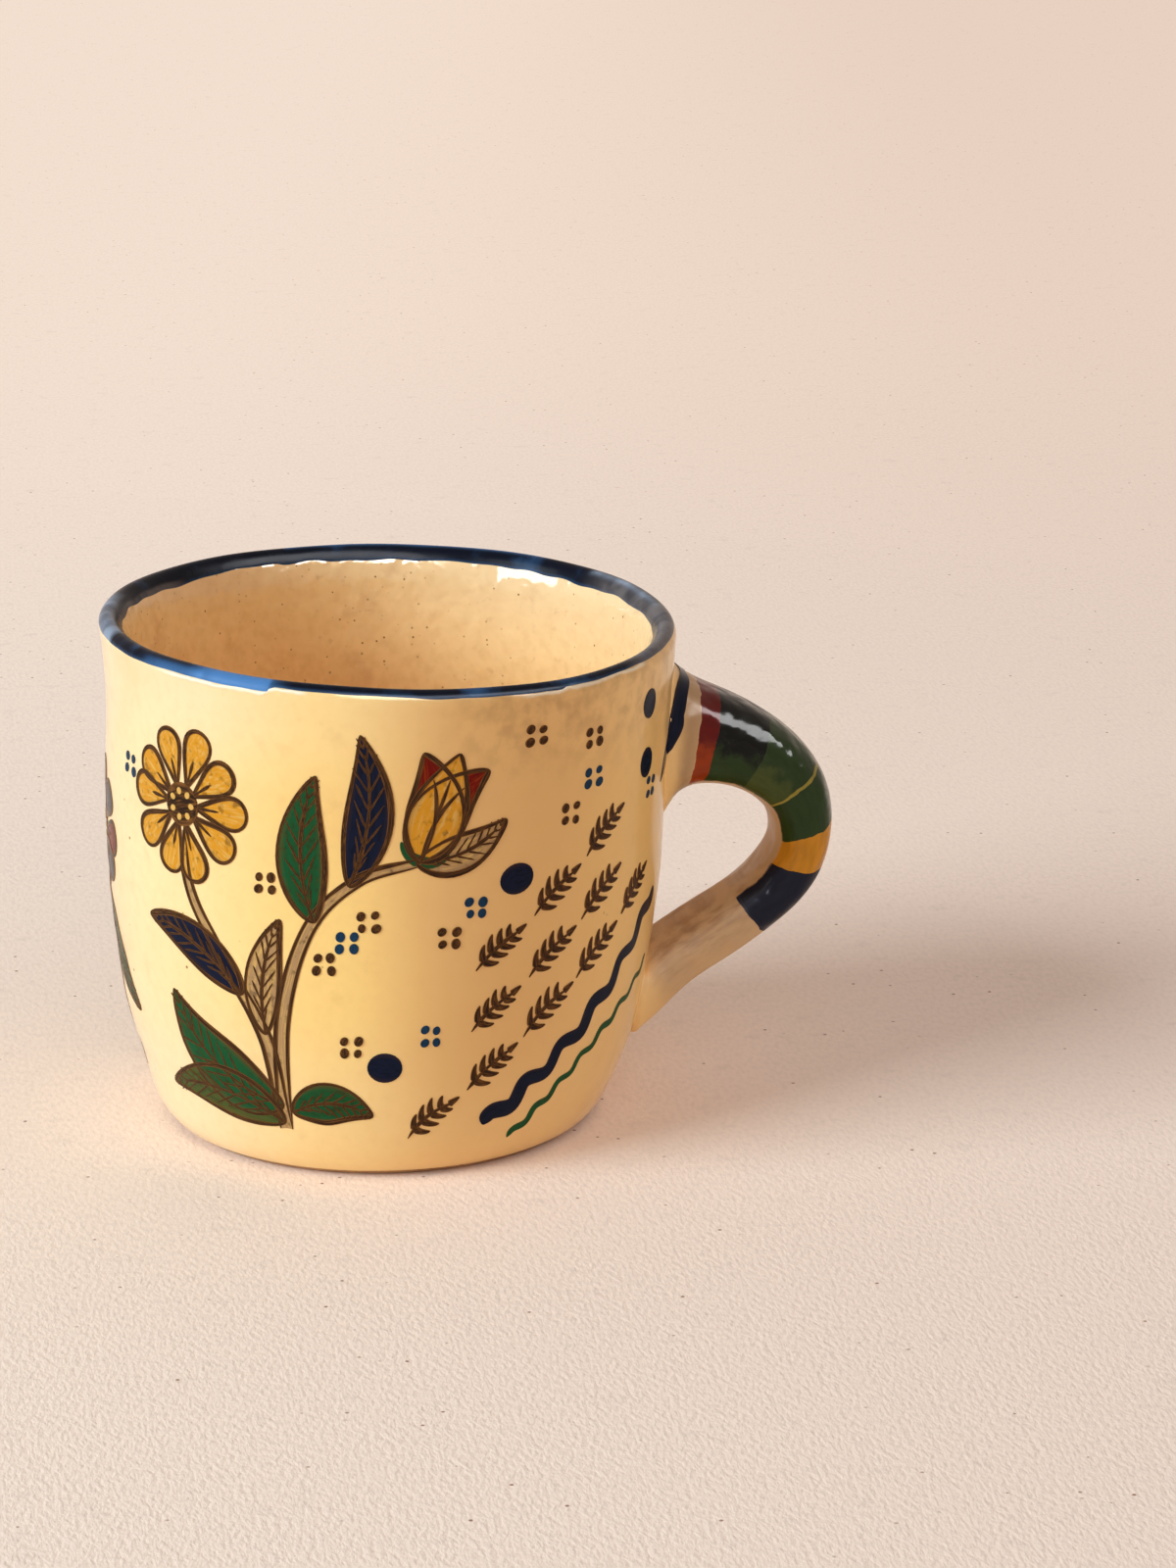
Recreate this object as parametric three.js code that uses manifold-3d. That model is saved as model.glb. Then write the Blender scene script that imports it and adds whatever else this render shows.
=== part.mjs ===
// Glazed earthenware teacup with a pulled strap handle, in millimetres, +Z up.
// The origin is the middle of the flat foot, and the handle points along +X.
import * as THREE from "three";
import { mergeVertices } from "three/addons/utils/BufferGeometryUtils.js";
import Module from "manifold-3d";

const wasm = await Module();
wasm.setup();

// The cup, measured over its glaze
const RIM_RADIUS = 45;
const CUP_HEIGHT = 81;
const FOOT_RADIUS = 32.5;
const WALL = 4.7;
const FLOOR = 6;
const FLOOR_RADIUS = 28;

// How the wall swings out from the foot and draws in again under the lip
const HEEL_SPREAD = 11.5;
const HEEL_RISE = 3.1;
const INNER_HEEL_SPREAD = 11.8;
const INNER_HEEL_RISE = 0.6;
const WAIST_INSET = 1.3;
const WAIST_DROP = 25.3;

// The lip: rounded outside its crest, and sloped inside down to the shoulder of the wall
const LIP_ROUND = 1.7;
const LIP_RISE = 2.1;
const LIP_SHOULDER = 8;

// Hand-made set of the cup: it leans to the handle, and the rim dips there
const LEAN = 0.025;
const RIM_DIP = 0.033;
const DIP_START = 18;

// Glaze coats, from the finished surface down to the clay, and the bare foot below them.
// The blue band comes down from the crest of the lip on both sides.
const GLAZE = 0.5;
const BARE_FOOT = 1.2;
const BAND_OUTSIDE = 0.75;
const BAND_INSIDE = 2.2;

// Handle: the path of its middle line, and how far each stretch runs straight before it bends.
// The upper root hangs below the rim and the lower root stands above the foot.
// The belly hangs below the upper root and reaches out past the rim.
const UPPER_ROOT_DROP = 19.8;
const LOWER_ROOT_HEIGHT = 18.9;
const BELLY_DROP = 17.2;
const BELLY_REACH = 21.7;
const UPPER_PULL = 13;
const SHOULDER_PULL = 10.5;
const ELBOW_PULL = 10.2;
const LOWER_PULL = 18;
const LOWER_SLOPE = THREE.MathUtils.degToRad(36);

// Handle: the strap's section, thick and round above, flatter below, smeared out where it joins
const UPPER_THICKNESS = 15.2;
const LOWER_THICKNESS = 9.4;
const UPPER_WIDTH = 17;
const LOWER_WIDTH = 15.5;
const TAPER_END = 0.53;
const UPPER_FLARE = 4.7;
const LOWER_FLARE = 2.5;
const SIDE_FLARE = 2;
const FLARE_LENGTH = 3.2;
const FLARE_SINK = 1;
const SQUARENESS = 2.5;

// Slip that lutes the handle on, and the clearance between pieces cut to each other
const SLIP = 1.2;
const FIT = 0.1;

// Finishes
const CLAY = { color: 0xc8976a, roughness: 0.85, metalness: 0 };
const SLIP_CLAY = { color: 0xb98659, roughness: 0.9, metalness: 0 };
const CREAM_GLAZE = { color: 0xefd9a6, roughness: 0.2, metalness: 0 };
const AMBER_GLAZE = { color: 0xdcb27a, roughness: 0.15, metalness: 0 };
const BLUE_GLAZE = { color: 0x252a3c, roughness: 0.15, metalness: 0 };

// Facets
const TURN_STEPS = 56;
const WALL_STEPS = 9;
const LIP_STEPS = 2;
const EDGE_STEPS = 1;
const STRAP_SIDES = 20;
const STRAP_STEPS = 28;
const SEARCH_STEPS = 40;

const LIP_FOOT = CUP_HEIGHT - LIP_RISE;
const SHOULDER_HEIGHT = CUP_HEIGHT - LIP_SHOULDER;
const WAIST_HEIGHT = LIP_FOOT - WAIST_DROP;
const CREST_RADIUS = RIM_RADIUS - LIP_ROUND;
const INNER_RADIUS = RIM_RADIUS - WALL;

// The finished surface in the half plane of the wheel's axis: outside, both sides of the lip, and inside
const outside = new THREE.CubicBezierCurve(
  new THREE.Vector2(FOOT_RADIUS, 0),
  new THREE.Vector2(FOOT_RADIUS + HEEL_SPREAD, HEEL_RISE),
  new THREE.Vector2(RIM_RADIUS - WAIST_INSET, WAIST_HEIGHT),
  new THREE.Vector2(RIM_RADIUS, LIP_FOOT),
);
const outerLip = new THREE.EllipseCurve(CREST_RADIUS, LIP_FOOT, LIP_ROUND, LIP_RISE, 0, Math.PI / 2);
const innerLip = new THREE.EllipseCurve(
  CREST_RADIUS,
  SHOULDER_HEIGHT,
  CREST_RADIUS - INNER_RADIUS,
  LIP_SHOULDER,
  Math.PI / 2,
  Math.PI,
);
const inside = new THREE.CubicBezierCurve(
  new THREE.Vector2(INNER_RADIUS, SHOULDER_HEIGHT),
  new THREE.Vector2(INNER_RADIUS - WAIST_INSET, WAIST_HEIGHT),
  new THREE.Vector2(FLOOR_RADIUS + INNER_HEEL_SPREAD, FLOOR + INNER_HEEL_RISE),
  new THREE.Vector2(FLOOR_RADIUS, FLOOR),
);

// Where a curve that runs steadily up or down passes a height
function crossing(curve, height) {
  const climbs = curve.getPoint(1).y > curve.getPoint(0).y;
  let low = 0;
  let high = 1;
  for (let i = 0; i < SEARCH_STEPS; i++) {
    const middle = (low + high) / 2;
    const short = curve.getPoint(middle).y < height;
    if (short === climbs) low = middle;
    else high = middle;
  }
  return low;
}

// Places along a curve, each with the direction that points out of the clay
function stations(curve, from, to, steps) {
  return Array.from({ length: steps + 1 }, (_, i) => {
    const t = THREE.MathUtils.lerp(from, to, i / steps);
    const along = curve.getTangent(t);
    return { point: curve.getPoint(t), out: new THREE.Vector2(along.y, -along.x) };
  });
}

// The same places, sunk below the finished surface
function layer(places, depth) {
  return places.map(({ point, out }) => point.clone().addScaledVector(out, -depth));
}

const glazeStart = crossing(outside, BARE_FOOT);
const bandStart = crossing(outerLip, CUP_HEIGHT - BAND_OUTSIDE);
const bandEnd = crossing(innerLip, CUP_HEIGHT - BAND_INSIDE);
const heelPlaces = stations(outside, 0, glazeStart, EDGE_STEPS);
const wallPlaces = [
  ...stations(outside, glazeStart, 1, WALL_STEPS),
  ...stations(outerLip, 0, bandStart, LIP_STEPS).slice(1),
];
const lipRise = stations(outerLip, bandStart, 1, LIP_STEPS);
const bandPlaces = [...lipRise, ...stations(innerLip, 0, bandEnd, LIP_STEPS).slice(1)];
const floorMiddle = { point: new THREE.Vector2(0, FLOOR), out: new THREE.Vector2(0, 1) };
const linerPlaces = [
  ...stations(innerLip, bandEnd, 1, LIP_STEPS),
  ...stations(inside, 0, 1, WALL_STEPS).slice(1),
  floorMiddle,
];

// The lean and the dip of the rim, given to every piece alike
function handmade(geometry) {
  const places = geometry.getAttribute("position");
  for (let i = 0; i < places.count; i++) {
    const x = places.getX(i);
    const z = places.getZ(i);
    const rise = THREE.MathUtils.smoothstep(z, DIP_START, CUP_HEIGHT);
    places.setX(i, x + LEAN * z);
    places.setZ(i, z - RIM_DIP * x * rise);
  }
  return geometry;
}

function thrown(profile) {
  return handmade(new THREE.LatheGeometry(profile, TURN_STEPS).rotateX(Math.PI / 2));
}

// A coat of glaze that lies on the clay with a small clearance: its face, and its back on the way home
function coat(places) {
  return { face: layer(places, 0), back: layer(places, GLAZE - FIT).reverse() };
}

function coatRing(places) {
  const { face, back } = coat(places);
  return thrown([...face, ...back, face[0]]);
}

// All that lies within the outside wall at a depth, filled to the axis, for trimming the handle's ends
function filled(depth) {
  const wall = layer([...heelPlaces.slice(0, -1), ...wallPlaces, ...lipRise.slice(1)], depth);
  const under = new THREE.Vector2(0, wall[0].y);
  const crest = new THREE.Vector2(0, wall.at(-1).y);
  return thrown([under, ...wall, crest]);
}

// The middle line of the handle, from the upper root round the belly to the lower root
function rootOnWall(height) {
  return new THREE.Vector3(outside.getPoint(crossing(outside, height)).x, 0, height);
}
const upperRoot = rootOnWall(CUP_HEIGHT - UPPER_ROOT_DROP);
const lowerRoot = rootOnWall(LOWER_ROOT_HEIGHT);
const belly = new THREE.Vector3(RIM_RADIUS + BELLY_REACH, 0, upperRoot.z - BELLY_DROP);
const offset = (from, x, z) => from.clone().add(new THREE.Vector3(x, 0, z));
const spine = new THREE.CurvePath();
spine.add(new THREE.CubicBezierCurve3(
  upperRoot,
  offset(upperRoot, UPPER_PULL, 0),
  offset(belly, 0, SHOULDER_PULL),
  belly,
));
spine.add(new THREE.CubicBezierCurve3(
  belly,
  offset(belly, 0, -ELBOW_PULL),
  offset(lowerRoot, LOWER_PULL * Math.cos(LOWER_SLOPE), LOWER_PULL * Math.sin(LOWER_SLOPE)),
  lowerRoot,
));
const SPINE_LENGTH = spine.getLength();

function rounded(value) {
  return Math.sign(value) * Math.abs(value) ** (2 / SQUARENESS);
}

// One section of the strap, at a distance from the upper root. Below it turns to lie on the wall.
const INTO_WALL = new THREE.Vector3(-1, 0, 0);
function strapRing(distance, inset) {
  const reached = THREE.MathUtils.clamp(distance, 0, SPINE_LENGTH);
  const share = reached / SPINE_LENGTH;
  const upper = Math.exp(-Math.max(distance, -FLARE_SINK) / FLARE_LENGTH);
  const lower = Math.exp((Math.min(distance, SPINE_LENGTH + FLARE_SINK) - SPINE_LENGTH) / FLARE_LENGTH);
  const taper = THREE.MathUtils.smoothstep(share, 0, TAPER_END);
  const half = THREE.MathUtils.lerp(UPPER_THICKNESS, LOWER_THICKNESS, taper) / 2 + UPPER_FLARE * upper;
  const side = THREE.MathUtils.lerp(UPPER_WIDTH, LOWER_WIDTH, taper) / 2 + SIDE_FLARE * (upper + lower);
  const along = spine.getTangentAt(share).lerp(INTO_WALL, Math.min(lower, 1)).normalize();
  const across = new THREE.Vector3(0, 1, 0);
  const outward = new THREE.Vector3().crossVectors(along, across);
  const middle = spine.getPointAt(share).addScaledVector(along, distance - reached);
  return Array.from({ length: STRAP_SIDES }, (_, i) => {
    const turn = (2 * Math.PI * i) / STRAP_SIDES;
    const over = rounded(Math.sin(turn));
    const depth = half - inset + (over > 0 ? LOWER_FLARE * lower : 0);
    return middle
      .clone()
      .addScaledVector(across, (side - inset) * rounded(Math.cos(turn)))
      .addScaledVector(outward, depth * over);
  });
}

function loft(rings) {
  const sides = rings[0].length;
  const last = sides * (rings.length - 1);
  const index = [];
  for (let start = 0; start < last; start += sides) {
    for (let i = 0; i < sides; i++) {
      const next = (i + 1) % sides;
      index.push(start + i, start + next, start + sides + next);
      index.push(start + i, start + sides + next, start + sides + i);
    }
  }
  for (let i = 1; i < sides - 1; i++) {
    index.push(0, i + 1, i);
    index.push(last, last + i, last + i + 1);
  }
  return new THREE.BufferGeometry().setFromPoints(rings.flat()).setIndex(index);
}

// The strap runs on into the wall at both ends, where the cuts then trim it.
// Its sections lie closer together near the roots, where it flares.
function strap(inset) {
  const onSpine = Array.from({ length: STRAP_STEPS + 1 }, (_, i) => {
    const even = i / STRAP_STEPS;
    const bunched = (1 - Math.cos(Math.PI * even)) / 2;
    return (SPINE_LENGTH * (even + bunched)) / 2;
  });
  const sunk = SPINE_LENGTH + FLARE_SINK;
  const distances = [-WALL, -FLARE_SINK, ...onSpine, sunk, SPINE_LENGTH + WALL];
  return handmade(loft(distances.map((distance) => strapRing(distance, inset))));
}

function solid(geometry) {
  const bare = new THREE.BufferGeometry().setAttribute("position", geometry.getAttribute("position"));
  const merged = mergeVertices(bare.setIndex(geometry.index));
  return new wasm.Manifold(
    new wasm.Mesh({
      numProp: 3,
      vertProperties: merged.getAttribute("position").array,
      triVerts: new Uint32Array(merged.index.array),
    }),
  );
}

function surface(cut) {
  const mesh = cut.getMesh();
  return new THREE.BufferGeometry()
    .setAttribute("position", new THREE.BufferAttribute(mesh.vertProperties, 3))
    .setIndex(new THREE.BufferAttribute(mesh.triVerts, 1));
}

const cup = new THREE.Group();
function piece(name, geometry, finish) {
  geometry.computeVertexNormals();
  const mesh = new THREE.Mesh(geometry, new THREE.MeshStandardMaterial(finish));
  mesh.name = name;
  cup.add(mesh);
}

// Thrown clay body: flat foot, round heel, sloped lip and a floor thicker than the wall.
// The bare heel thins from the foot up to where the glaze starts.
const bareHeel = heelPlaces.map((place, i) => layer([place], (GLAZE * i) / EDGE_STEPS)[0]);
const clad = layer([...wallPlaces, ...bandPlaces.slice(1), ...linerPlaces.slice(1)], GLAZE);
piece("cup_body", thrown([new THREE.Vector2(0, 0), ...bareHeel, ...clad.slice(1)]), CLAY);

// Pulled clay handle, trimmed to the wall with room for its slip
const clayStrap = solid(strap(GLAZE));
const slipFace = solid(filled(GLAZE - FIT));
const slipBack = solid(filled(GLAZE - FIT - SLIP));
const handleEnd = solid(filled(GLAZE - FIT - SLIP - FIT));
piece("handle", surface(clayStrap.subtract(handleEnd)), CLAY);

// Pads of slip between the scored wall and the two ends of the handle
const topOf = (pad) => pad.boundingBox().max[2];
const pads = clayStrap.intersect(slipBack).subtract(slipFace).decompose();
const [upperPad, lowerPad] = pads.sort((a, b) => topOf(b) - topOf(a));
piece("upper_slip_joint", surface(upperPad), SLIP_CLAY);
piece("lower_slip_joint", surface(lowerPad), SLIP_CLAY);

// Glaze: a dipped coat outside and over the handle, a poured liner inside, a blue band on the lip
const strapCoat = solid(strap(0)).subtract(slipFace);
const dipped = solid(coatRing(wallPlaces)).add(strapCoat).subtract(solid(strap(GLAZE - FIT)));
piece("outer_glaze", surface(dipped), CREAM_GLAZE);
const liner = coat(linerPlaces);
piece("liner_glaze", thrown([...liner.back, ...liner.face]), AMBER_GLAZE);
piece("rim_band", coatRing(bandPlaces), BLUE_GLAZE);

export default cup;
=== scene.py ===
"""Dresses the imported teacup: fine glazed surfaces, brushed ornament and a pale studio round them."""

import math
import random

import bpy
import numpy as np
from bpy.props import FloatProperty, FloatVectorProperty, PointerProperty
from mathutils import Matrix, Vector
from mathutils.bvhtree import BVHTree


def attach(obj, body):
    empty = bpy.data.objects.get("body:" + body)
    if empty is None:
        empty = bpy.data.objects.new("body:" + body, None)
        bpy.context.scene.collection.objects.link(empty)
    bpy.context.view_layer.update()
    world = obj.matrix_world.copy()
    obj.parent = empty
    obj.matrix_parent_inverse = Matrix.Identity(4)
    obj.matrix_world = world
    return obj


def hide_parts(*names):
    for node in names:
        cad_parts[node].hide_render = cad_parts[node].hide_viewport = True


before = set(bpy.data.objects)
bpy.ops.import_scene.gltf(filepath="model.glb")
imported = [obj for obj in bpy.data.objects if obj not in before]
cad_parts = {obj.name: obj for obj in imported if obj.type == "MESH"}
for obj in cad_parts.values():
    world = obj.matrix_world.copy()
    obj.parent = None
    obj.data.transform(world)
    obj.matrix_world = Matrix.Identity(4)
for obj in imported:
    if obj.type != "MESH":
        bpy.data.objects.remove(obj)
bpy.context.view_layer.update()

bl_info = {
    "name": "Brushed earthenware teacup",
    "version": (1, 0, 0),
    "blender": (4, 5, 0),
    "location": "3D View > Sidebar > Teacup",
    "description": "Builds the glazed and painted pieces of a handmade teacup around its packed solids",
    "category": "Add Mesh",
}

MM = 0.001
BODY = "root"

# Facets of the fine meshes
TURNS = 240
FOOT_ROWS = 8
WALL_ROWS = 80
BACK_ROWS = 14
LIP_ROWS = 12
STRAP_RINGS = 180
STRAP_SIDES = 72

# How far from its crest the lip has rows of its own, and the angle from which an edge is sharp
LIP_ZONE = 4.5 * MM
SHARP_ANGLE = math.radians(40)

# Steps in which the curves of the section and of the handle's middle line are worked out
WALL_STEPS = 1500
LIP_STEPS = 400
FLOOR_STEPS = 200
STRAP_STEPS = 600


def number(label, description, default, **kind):
    return FloatProperty(name=label, description=description, default=default, **kind)


def length(label, description, millimetres):
    return number(label, description, millimetres * MM, unit="LENGTH", precision=5)


def share(label, description, default):
    return number(label, description, default, subtype="FACTOR")


def bearing(label, description, degrees):
    return number(label, description, math.radians(degrees), subtype="ANGLE")


def linear(channel):
    """A display value from 0 to 255 as light."""
    value = channel / 255
    return value / 12.92 if value <= 0.04045 else ((value + 0.055) / 1.055) ** 2.4


def colour(label, description, *display):
    return FloatVectorProperty(
        name=label,
        description=description,
        default=[linear(channel) for channel in display],
        subtype="COLOR",
        min=0,
        max=1,
    )


class CupSizes(bpy.types.PropertyGroup):
    """The thrown cup, measured over its glaze."""

    rim_radius: length("Rim radius", "Outside of the lip", 45)
    height: length("Height", "Top of the lip above the foot, before the rim dips", 81)
    foot_radius: length("Foot radius", "Flat foot that the cup stands on", 32.5)
    wall: length("Wall", "Thickness of the wall below the lip", 4.7)
    floor: length("Floor", "Height of the floor inside", 6)
    floor_radius: length("Floor radius", "Flat part of the floor inside", 28)
    heel_spread: length("Heel spread", "How far the wall swings out from the foot", 11.5)
    heel_rise: length("Heel rise", "How high that swing stays low", 3.1)
    inner_spread: length("Inner heel spread", "How far the inside swings out from the floor", 11.8)
    inner_rise: length("Inner heel rise", "How high that swing stays low", 0.6)
    waist_inset: length("Waist inset", "How far the wall draws in under the lip", 1.3)
    waist_drop: length("Waist drop", "How far below the lip it draws in", 25.3)
    lip_round: length("Lip round", "Width of the lip outside its crest", 1.7)
    lip_rise: length("Lip rise", "Height of the lip's rounding outside", 2.1)
    lip_shoulder: length("Lip shoulder", "How far the inside slopes below the crest", 8)
    lean: share("Lean", "How far the cup leans to the handle", 0.025)
    rim_dip: share("Rim dip", "How far the rim dips to the handle", 0.033)
    dip_start: length("Dip start", "Height at which the dip begins", 18)
    rim_sag: length("Rim sag", "How far the soft rim sank at the front and rose at the back", 0.7)
    sag_start: length("Sag start", "Height at which the sag begins", 62)
    glaze: length("Glaze", "From the finished surface down to the clay", 0.5)
    fit: length("Fit", "Clearance between the glaze and the clay", 0.1)
    bare_foot: length("Bare foot", "Height of the clay left bare above the foot", 1.2)
    band_outside: length("Band outside", "How far the lip band comes down outside, from the crest", 1.5)
    band_inside: length("Band inside", "How far it comes down inside, from the crest", 3.0)
    unevenness: length("Unevenness", "How far the hand-turned wall strays", 0.22)


class HandleSizes(bpy.types.PropertyGroup):
    """The pulled strap: the path of its middle line and its section."""

    upper_drop: length("Upper root drop", "Upper root below the rim", 19.8)
    lower_height: length("Lower root height", "Lower root above the foot", 18.9)
    belly_drop: length("Belly drop", "Belly below the upper root", 17.2)
    belly_reach: length("Belly reach", "Belly out past the rim", 21.7)
    upper_pull: length("Upper pull", "Straight run out of the upper root", 13)
    shoulder_pull: length("Shoulder pull", "Straight run above the belly", 10.5)
    elbow_pull: length("Elbow pull", "Straight run below the belly", 10.2)
    lower_pull: length("Lower pull", "Straight run out of the lower root", 18)
    lower_slope: bearing("Lower slope", "Rise of the lower arm", 36)
    upper_thickness: length("Upper thickness", "Strap at the upper root", 15.2)
    lower_thickness: length("Lower thickness", "Strap past the belly", 9.4)
    upper_width: length("Upper width", "Strap at the upper root", 17)
    lower_width: length("Lower width", "Strap past the belly", 15.5)
    taper_end: share("Taper end", "Where along the strap the taper ends", 0.53)
    upper_flare: length("Upper flare", "Smear of the upper root", 4.7)
    lower_flare: length("Lower flare", "Smear below the lower root", 2.5)
    side_flare: length("Side flare", "Smear at both sides of the roots", 2)
    flare_length: length("Flare length", "How quickly the smears die away", 3.2)
    flare_sink: length("Flare sink", "How far the smears run on into the wall", 1)
    squareness: number("Squareness", "Section from round, 2, towards square", 2.5)
    lumps: length("Lumps", "How far the pulled strap strays", 0.16)


class PaintColours(bpy.types.PropertyGroup):
    """Clay, glazes and the painter's colours."""

    clay: colour("Clay", "Bare fired earthenware", 196, 146, 102)
    cream: colour("Cream", "Glaze outside", 246, 210, 144)
    # Amber serves random pooling of the glaze, the lower inside, and painted shade on the wall's handle
    # side
    amber: colour("Amber", "Glaze where it lies thick", 228, 180, 116)
    # Painted light: a paler cream laid where the window lights the wall outside and the upper inside
    lit_cream: colour("Milk", "Glaze outside, on the side away from the handle", 245, 217, 172)
    gold: colour("Gold", "Glaze outside, half-way up", 250, 206, 108)
    # Painted highlight: the pale glint along the raised bead of glaze below the lip band
    pale: colour("Pale", "Bead of thick clear glaze below the lip band", 252, 244, 222)
    liner: colour("Liner", "Glaze inside", 252, 212, 150)
    # Painted shade: the wall's cream made greyer and darker for the handle, standing in for its shade and
    # dull reflections
    drab: colour("Drab", "Glaze on the bare part of the handle", 200, 168, 128)
    speck: colour("Speck", "Iron specks in the glaze", 140, 88, 46)
    band: colour("Band", "Blue-black of the lip", 12, 17, 30)
    cobalt: colour("Cobalt", "Lip where the blue lies thin", 86, 138, 198)
    slate: colour("Slate", "Lip where the blue is worn", 112, 106, 106)
    # Painted sheen: the pale grey-blue of reflections on the lip band
    band_sheen: colour("Mist", "Lip where the blue shows milky", 152, 166, 186)
    navy: colour("Navy", "Blue-black brushwork", 20, 26, 46)
    blue: colour("Blue", "Small dots", 26, 58, 84)
    brown: colour("Brown", "Lines and dabs", 46, 30, 20)
    umber: colour("Umber", "Edge of a brown line, where it bleeds", 128, 82, 40)
    taupe: colour("Taupe", "Grey-brown stems and leaves", 166, 130, 90)
    green: colour("Green", "Bright leaves", 22, 78, 44)
    moss: colour("Moss", "Leaves and bands where the green lies thin", 42, 62, 28)
    olive: colour("Olive", "Dull green", 70, 82, 38)
    pine: colour("Pine", "Deepest green", 8, 12, 8)
    lime: colour("Lime", "Thin line between the greens", 156, 140, 58)
    rust: colour("Rust", "Red-brown", 104, 16, 10)
    orange: colour("Orange", "Red-brown where it lies thin", 152, 58, 16)
    ochre: colour("Ochre", "Yellow-brown", 206, 140, 36)
    straw: colour("Straw", "Yellow-brown where it lies thin", 214, 172, 96)


class StageSettings(bpy.types.PropertyGroup):
    """Floor, lamps, room and camera."""

    # Painted light falloff: the cloth is paler on the window's side and darker away from it
    floor: colour("Floor", "Pale cloth on the window's side", 254, 233, 216)
    floor_right: colour("Floor right", "Pale cloth away from the window", 242, 218, 201)
    backdrop: colour("Backdrop", "What a low view sees behind the floor", 236, 216, 202)
    window: number("Window", "Power of the window on the left", 1640)
    fill: number("Fill", "Power of the soft light from the camera's side", 25)
    strip: number("Strip", "Power of the strip that only the glaze mirrors", 500)
    sky_behind: number("Sky behind", "Light of the room behind the cup", 0.66)
    sky_ahead: number("Sky ahead", "Light of the room on the camera's side", 0.09)
    eye: FloatVectorProperty(
        name="Eye",
        description="Where the camera stands",
        default=(-60.29 * MM, -666.9 * MM, 254.65 * MM),
        subtype="TRANSLATION",
    )
    heading: bearing("Heading", "Turn of the camera from straight across the handle", -8)
    pitch: bearing("Pitch", "Tilt of the camera below the horizon", 16.77)
    lens: number("Lens", "Focal length", 101.25, unit="CAMERA")


# Shapes


def smoothstep(value, low, high):
    part = np.clip((value - low) / (high - low), 0, 1)
    return part * part * (3 - 2 * part)


def mixed(first, second, part):
    return first + (second - first) * part


def unit(vectors):
    """The same directions, each one long."""
    return vectors / np.maximum(np.linalg.norm(vectors, axis=-1, keepdims=True), 1e-12)


def left(course):
    """Flat directions, turned a quarter to the left."""
    return np.stack([-course[..., 1], course[..., 0]], -1)


def pointing(turn):
    """A flat direction, by its turn to the left from the first axis."""
    return np.array([math.cos(turn), math.sin(turn)])


def run_along(line):
    """How far each point of a line lies from its start, along it."""
    return np.concatenate([[0], np.cumsum(np.linalg.norm(np.diff(line, axis=0), axis=1))])


def all_round(count):
    """Even angles round the cup, from the handle."""
    return np.linspace(0, 2 * math.pi, count, endpoint=False)


def even(steps):
    return np.linspace(0, 1, steps)


def eased(steps):
    """Steps from 0 to 1 that lie closer together at both ends."""
    return (1 - np.cos(math.pi * even(steps))) / 2


def bezier(points, t):
    a, b, c, d = (np.asarray(point, float) for point in points)
    t = np.asarray(t, float)[..., None]
    s = 1 - t
    return s**3 * a + 3 * s * s * t * b + 3 * s * t * t * c + t**3 * d


# Waves of the hand-turned wall: share, how many round the cup, phase, radians to a millimetre of height
WALL_WAVES = ((0.5, 2, 0.7, 0), (0.3, 3, 2.1, 1 / 26), (0.14, 5, 0, -1 / 7), (0.1, 1, 0, 1 / 0.9))

# Swellings and dents of the wall: share, height of the middle and spread, in millimetres
HEEL_DENTS = ((0.6, 9, 6),)
FAR_SWELLINGS = ((-2, 68, 8), (2, 40, 14), (-3.2, 11, 6))
NEAR_SWELLINGS = ((1.6, 40, 8), (-2.4, 6, 5))

# Waves in which the rim sank: share, how many round the cup, phase in degrees
SAG_WAVES = ((1, 1, 101), (0.37, 2, 84), (0.16, 3, 125), (0.06, 11, -90))

# Inside this radius the floor stays even
EVEN_RADIUS = 30 * MM


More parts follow.
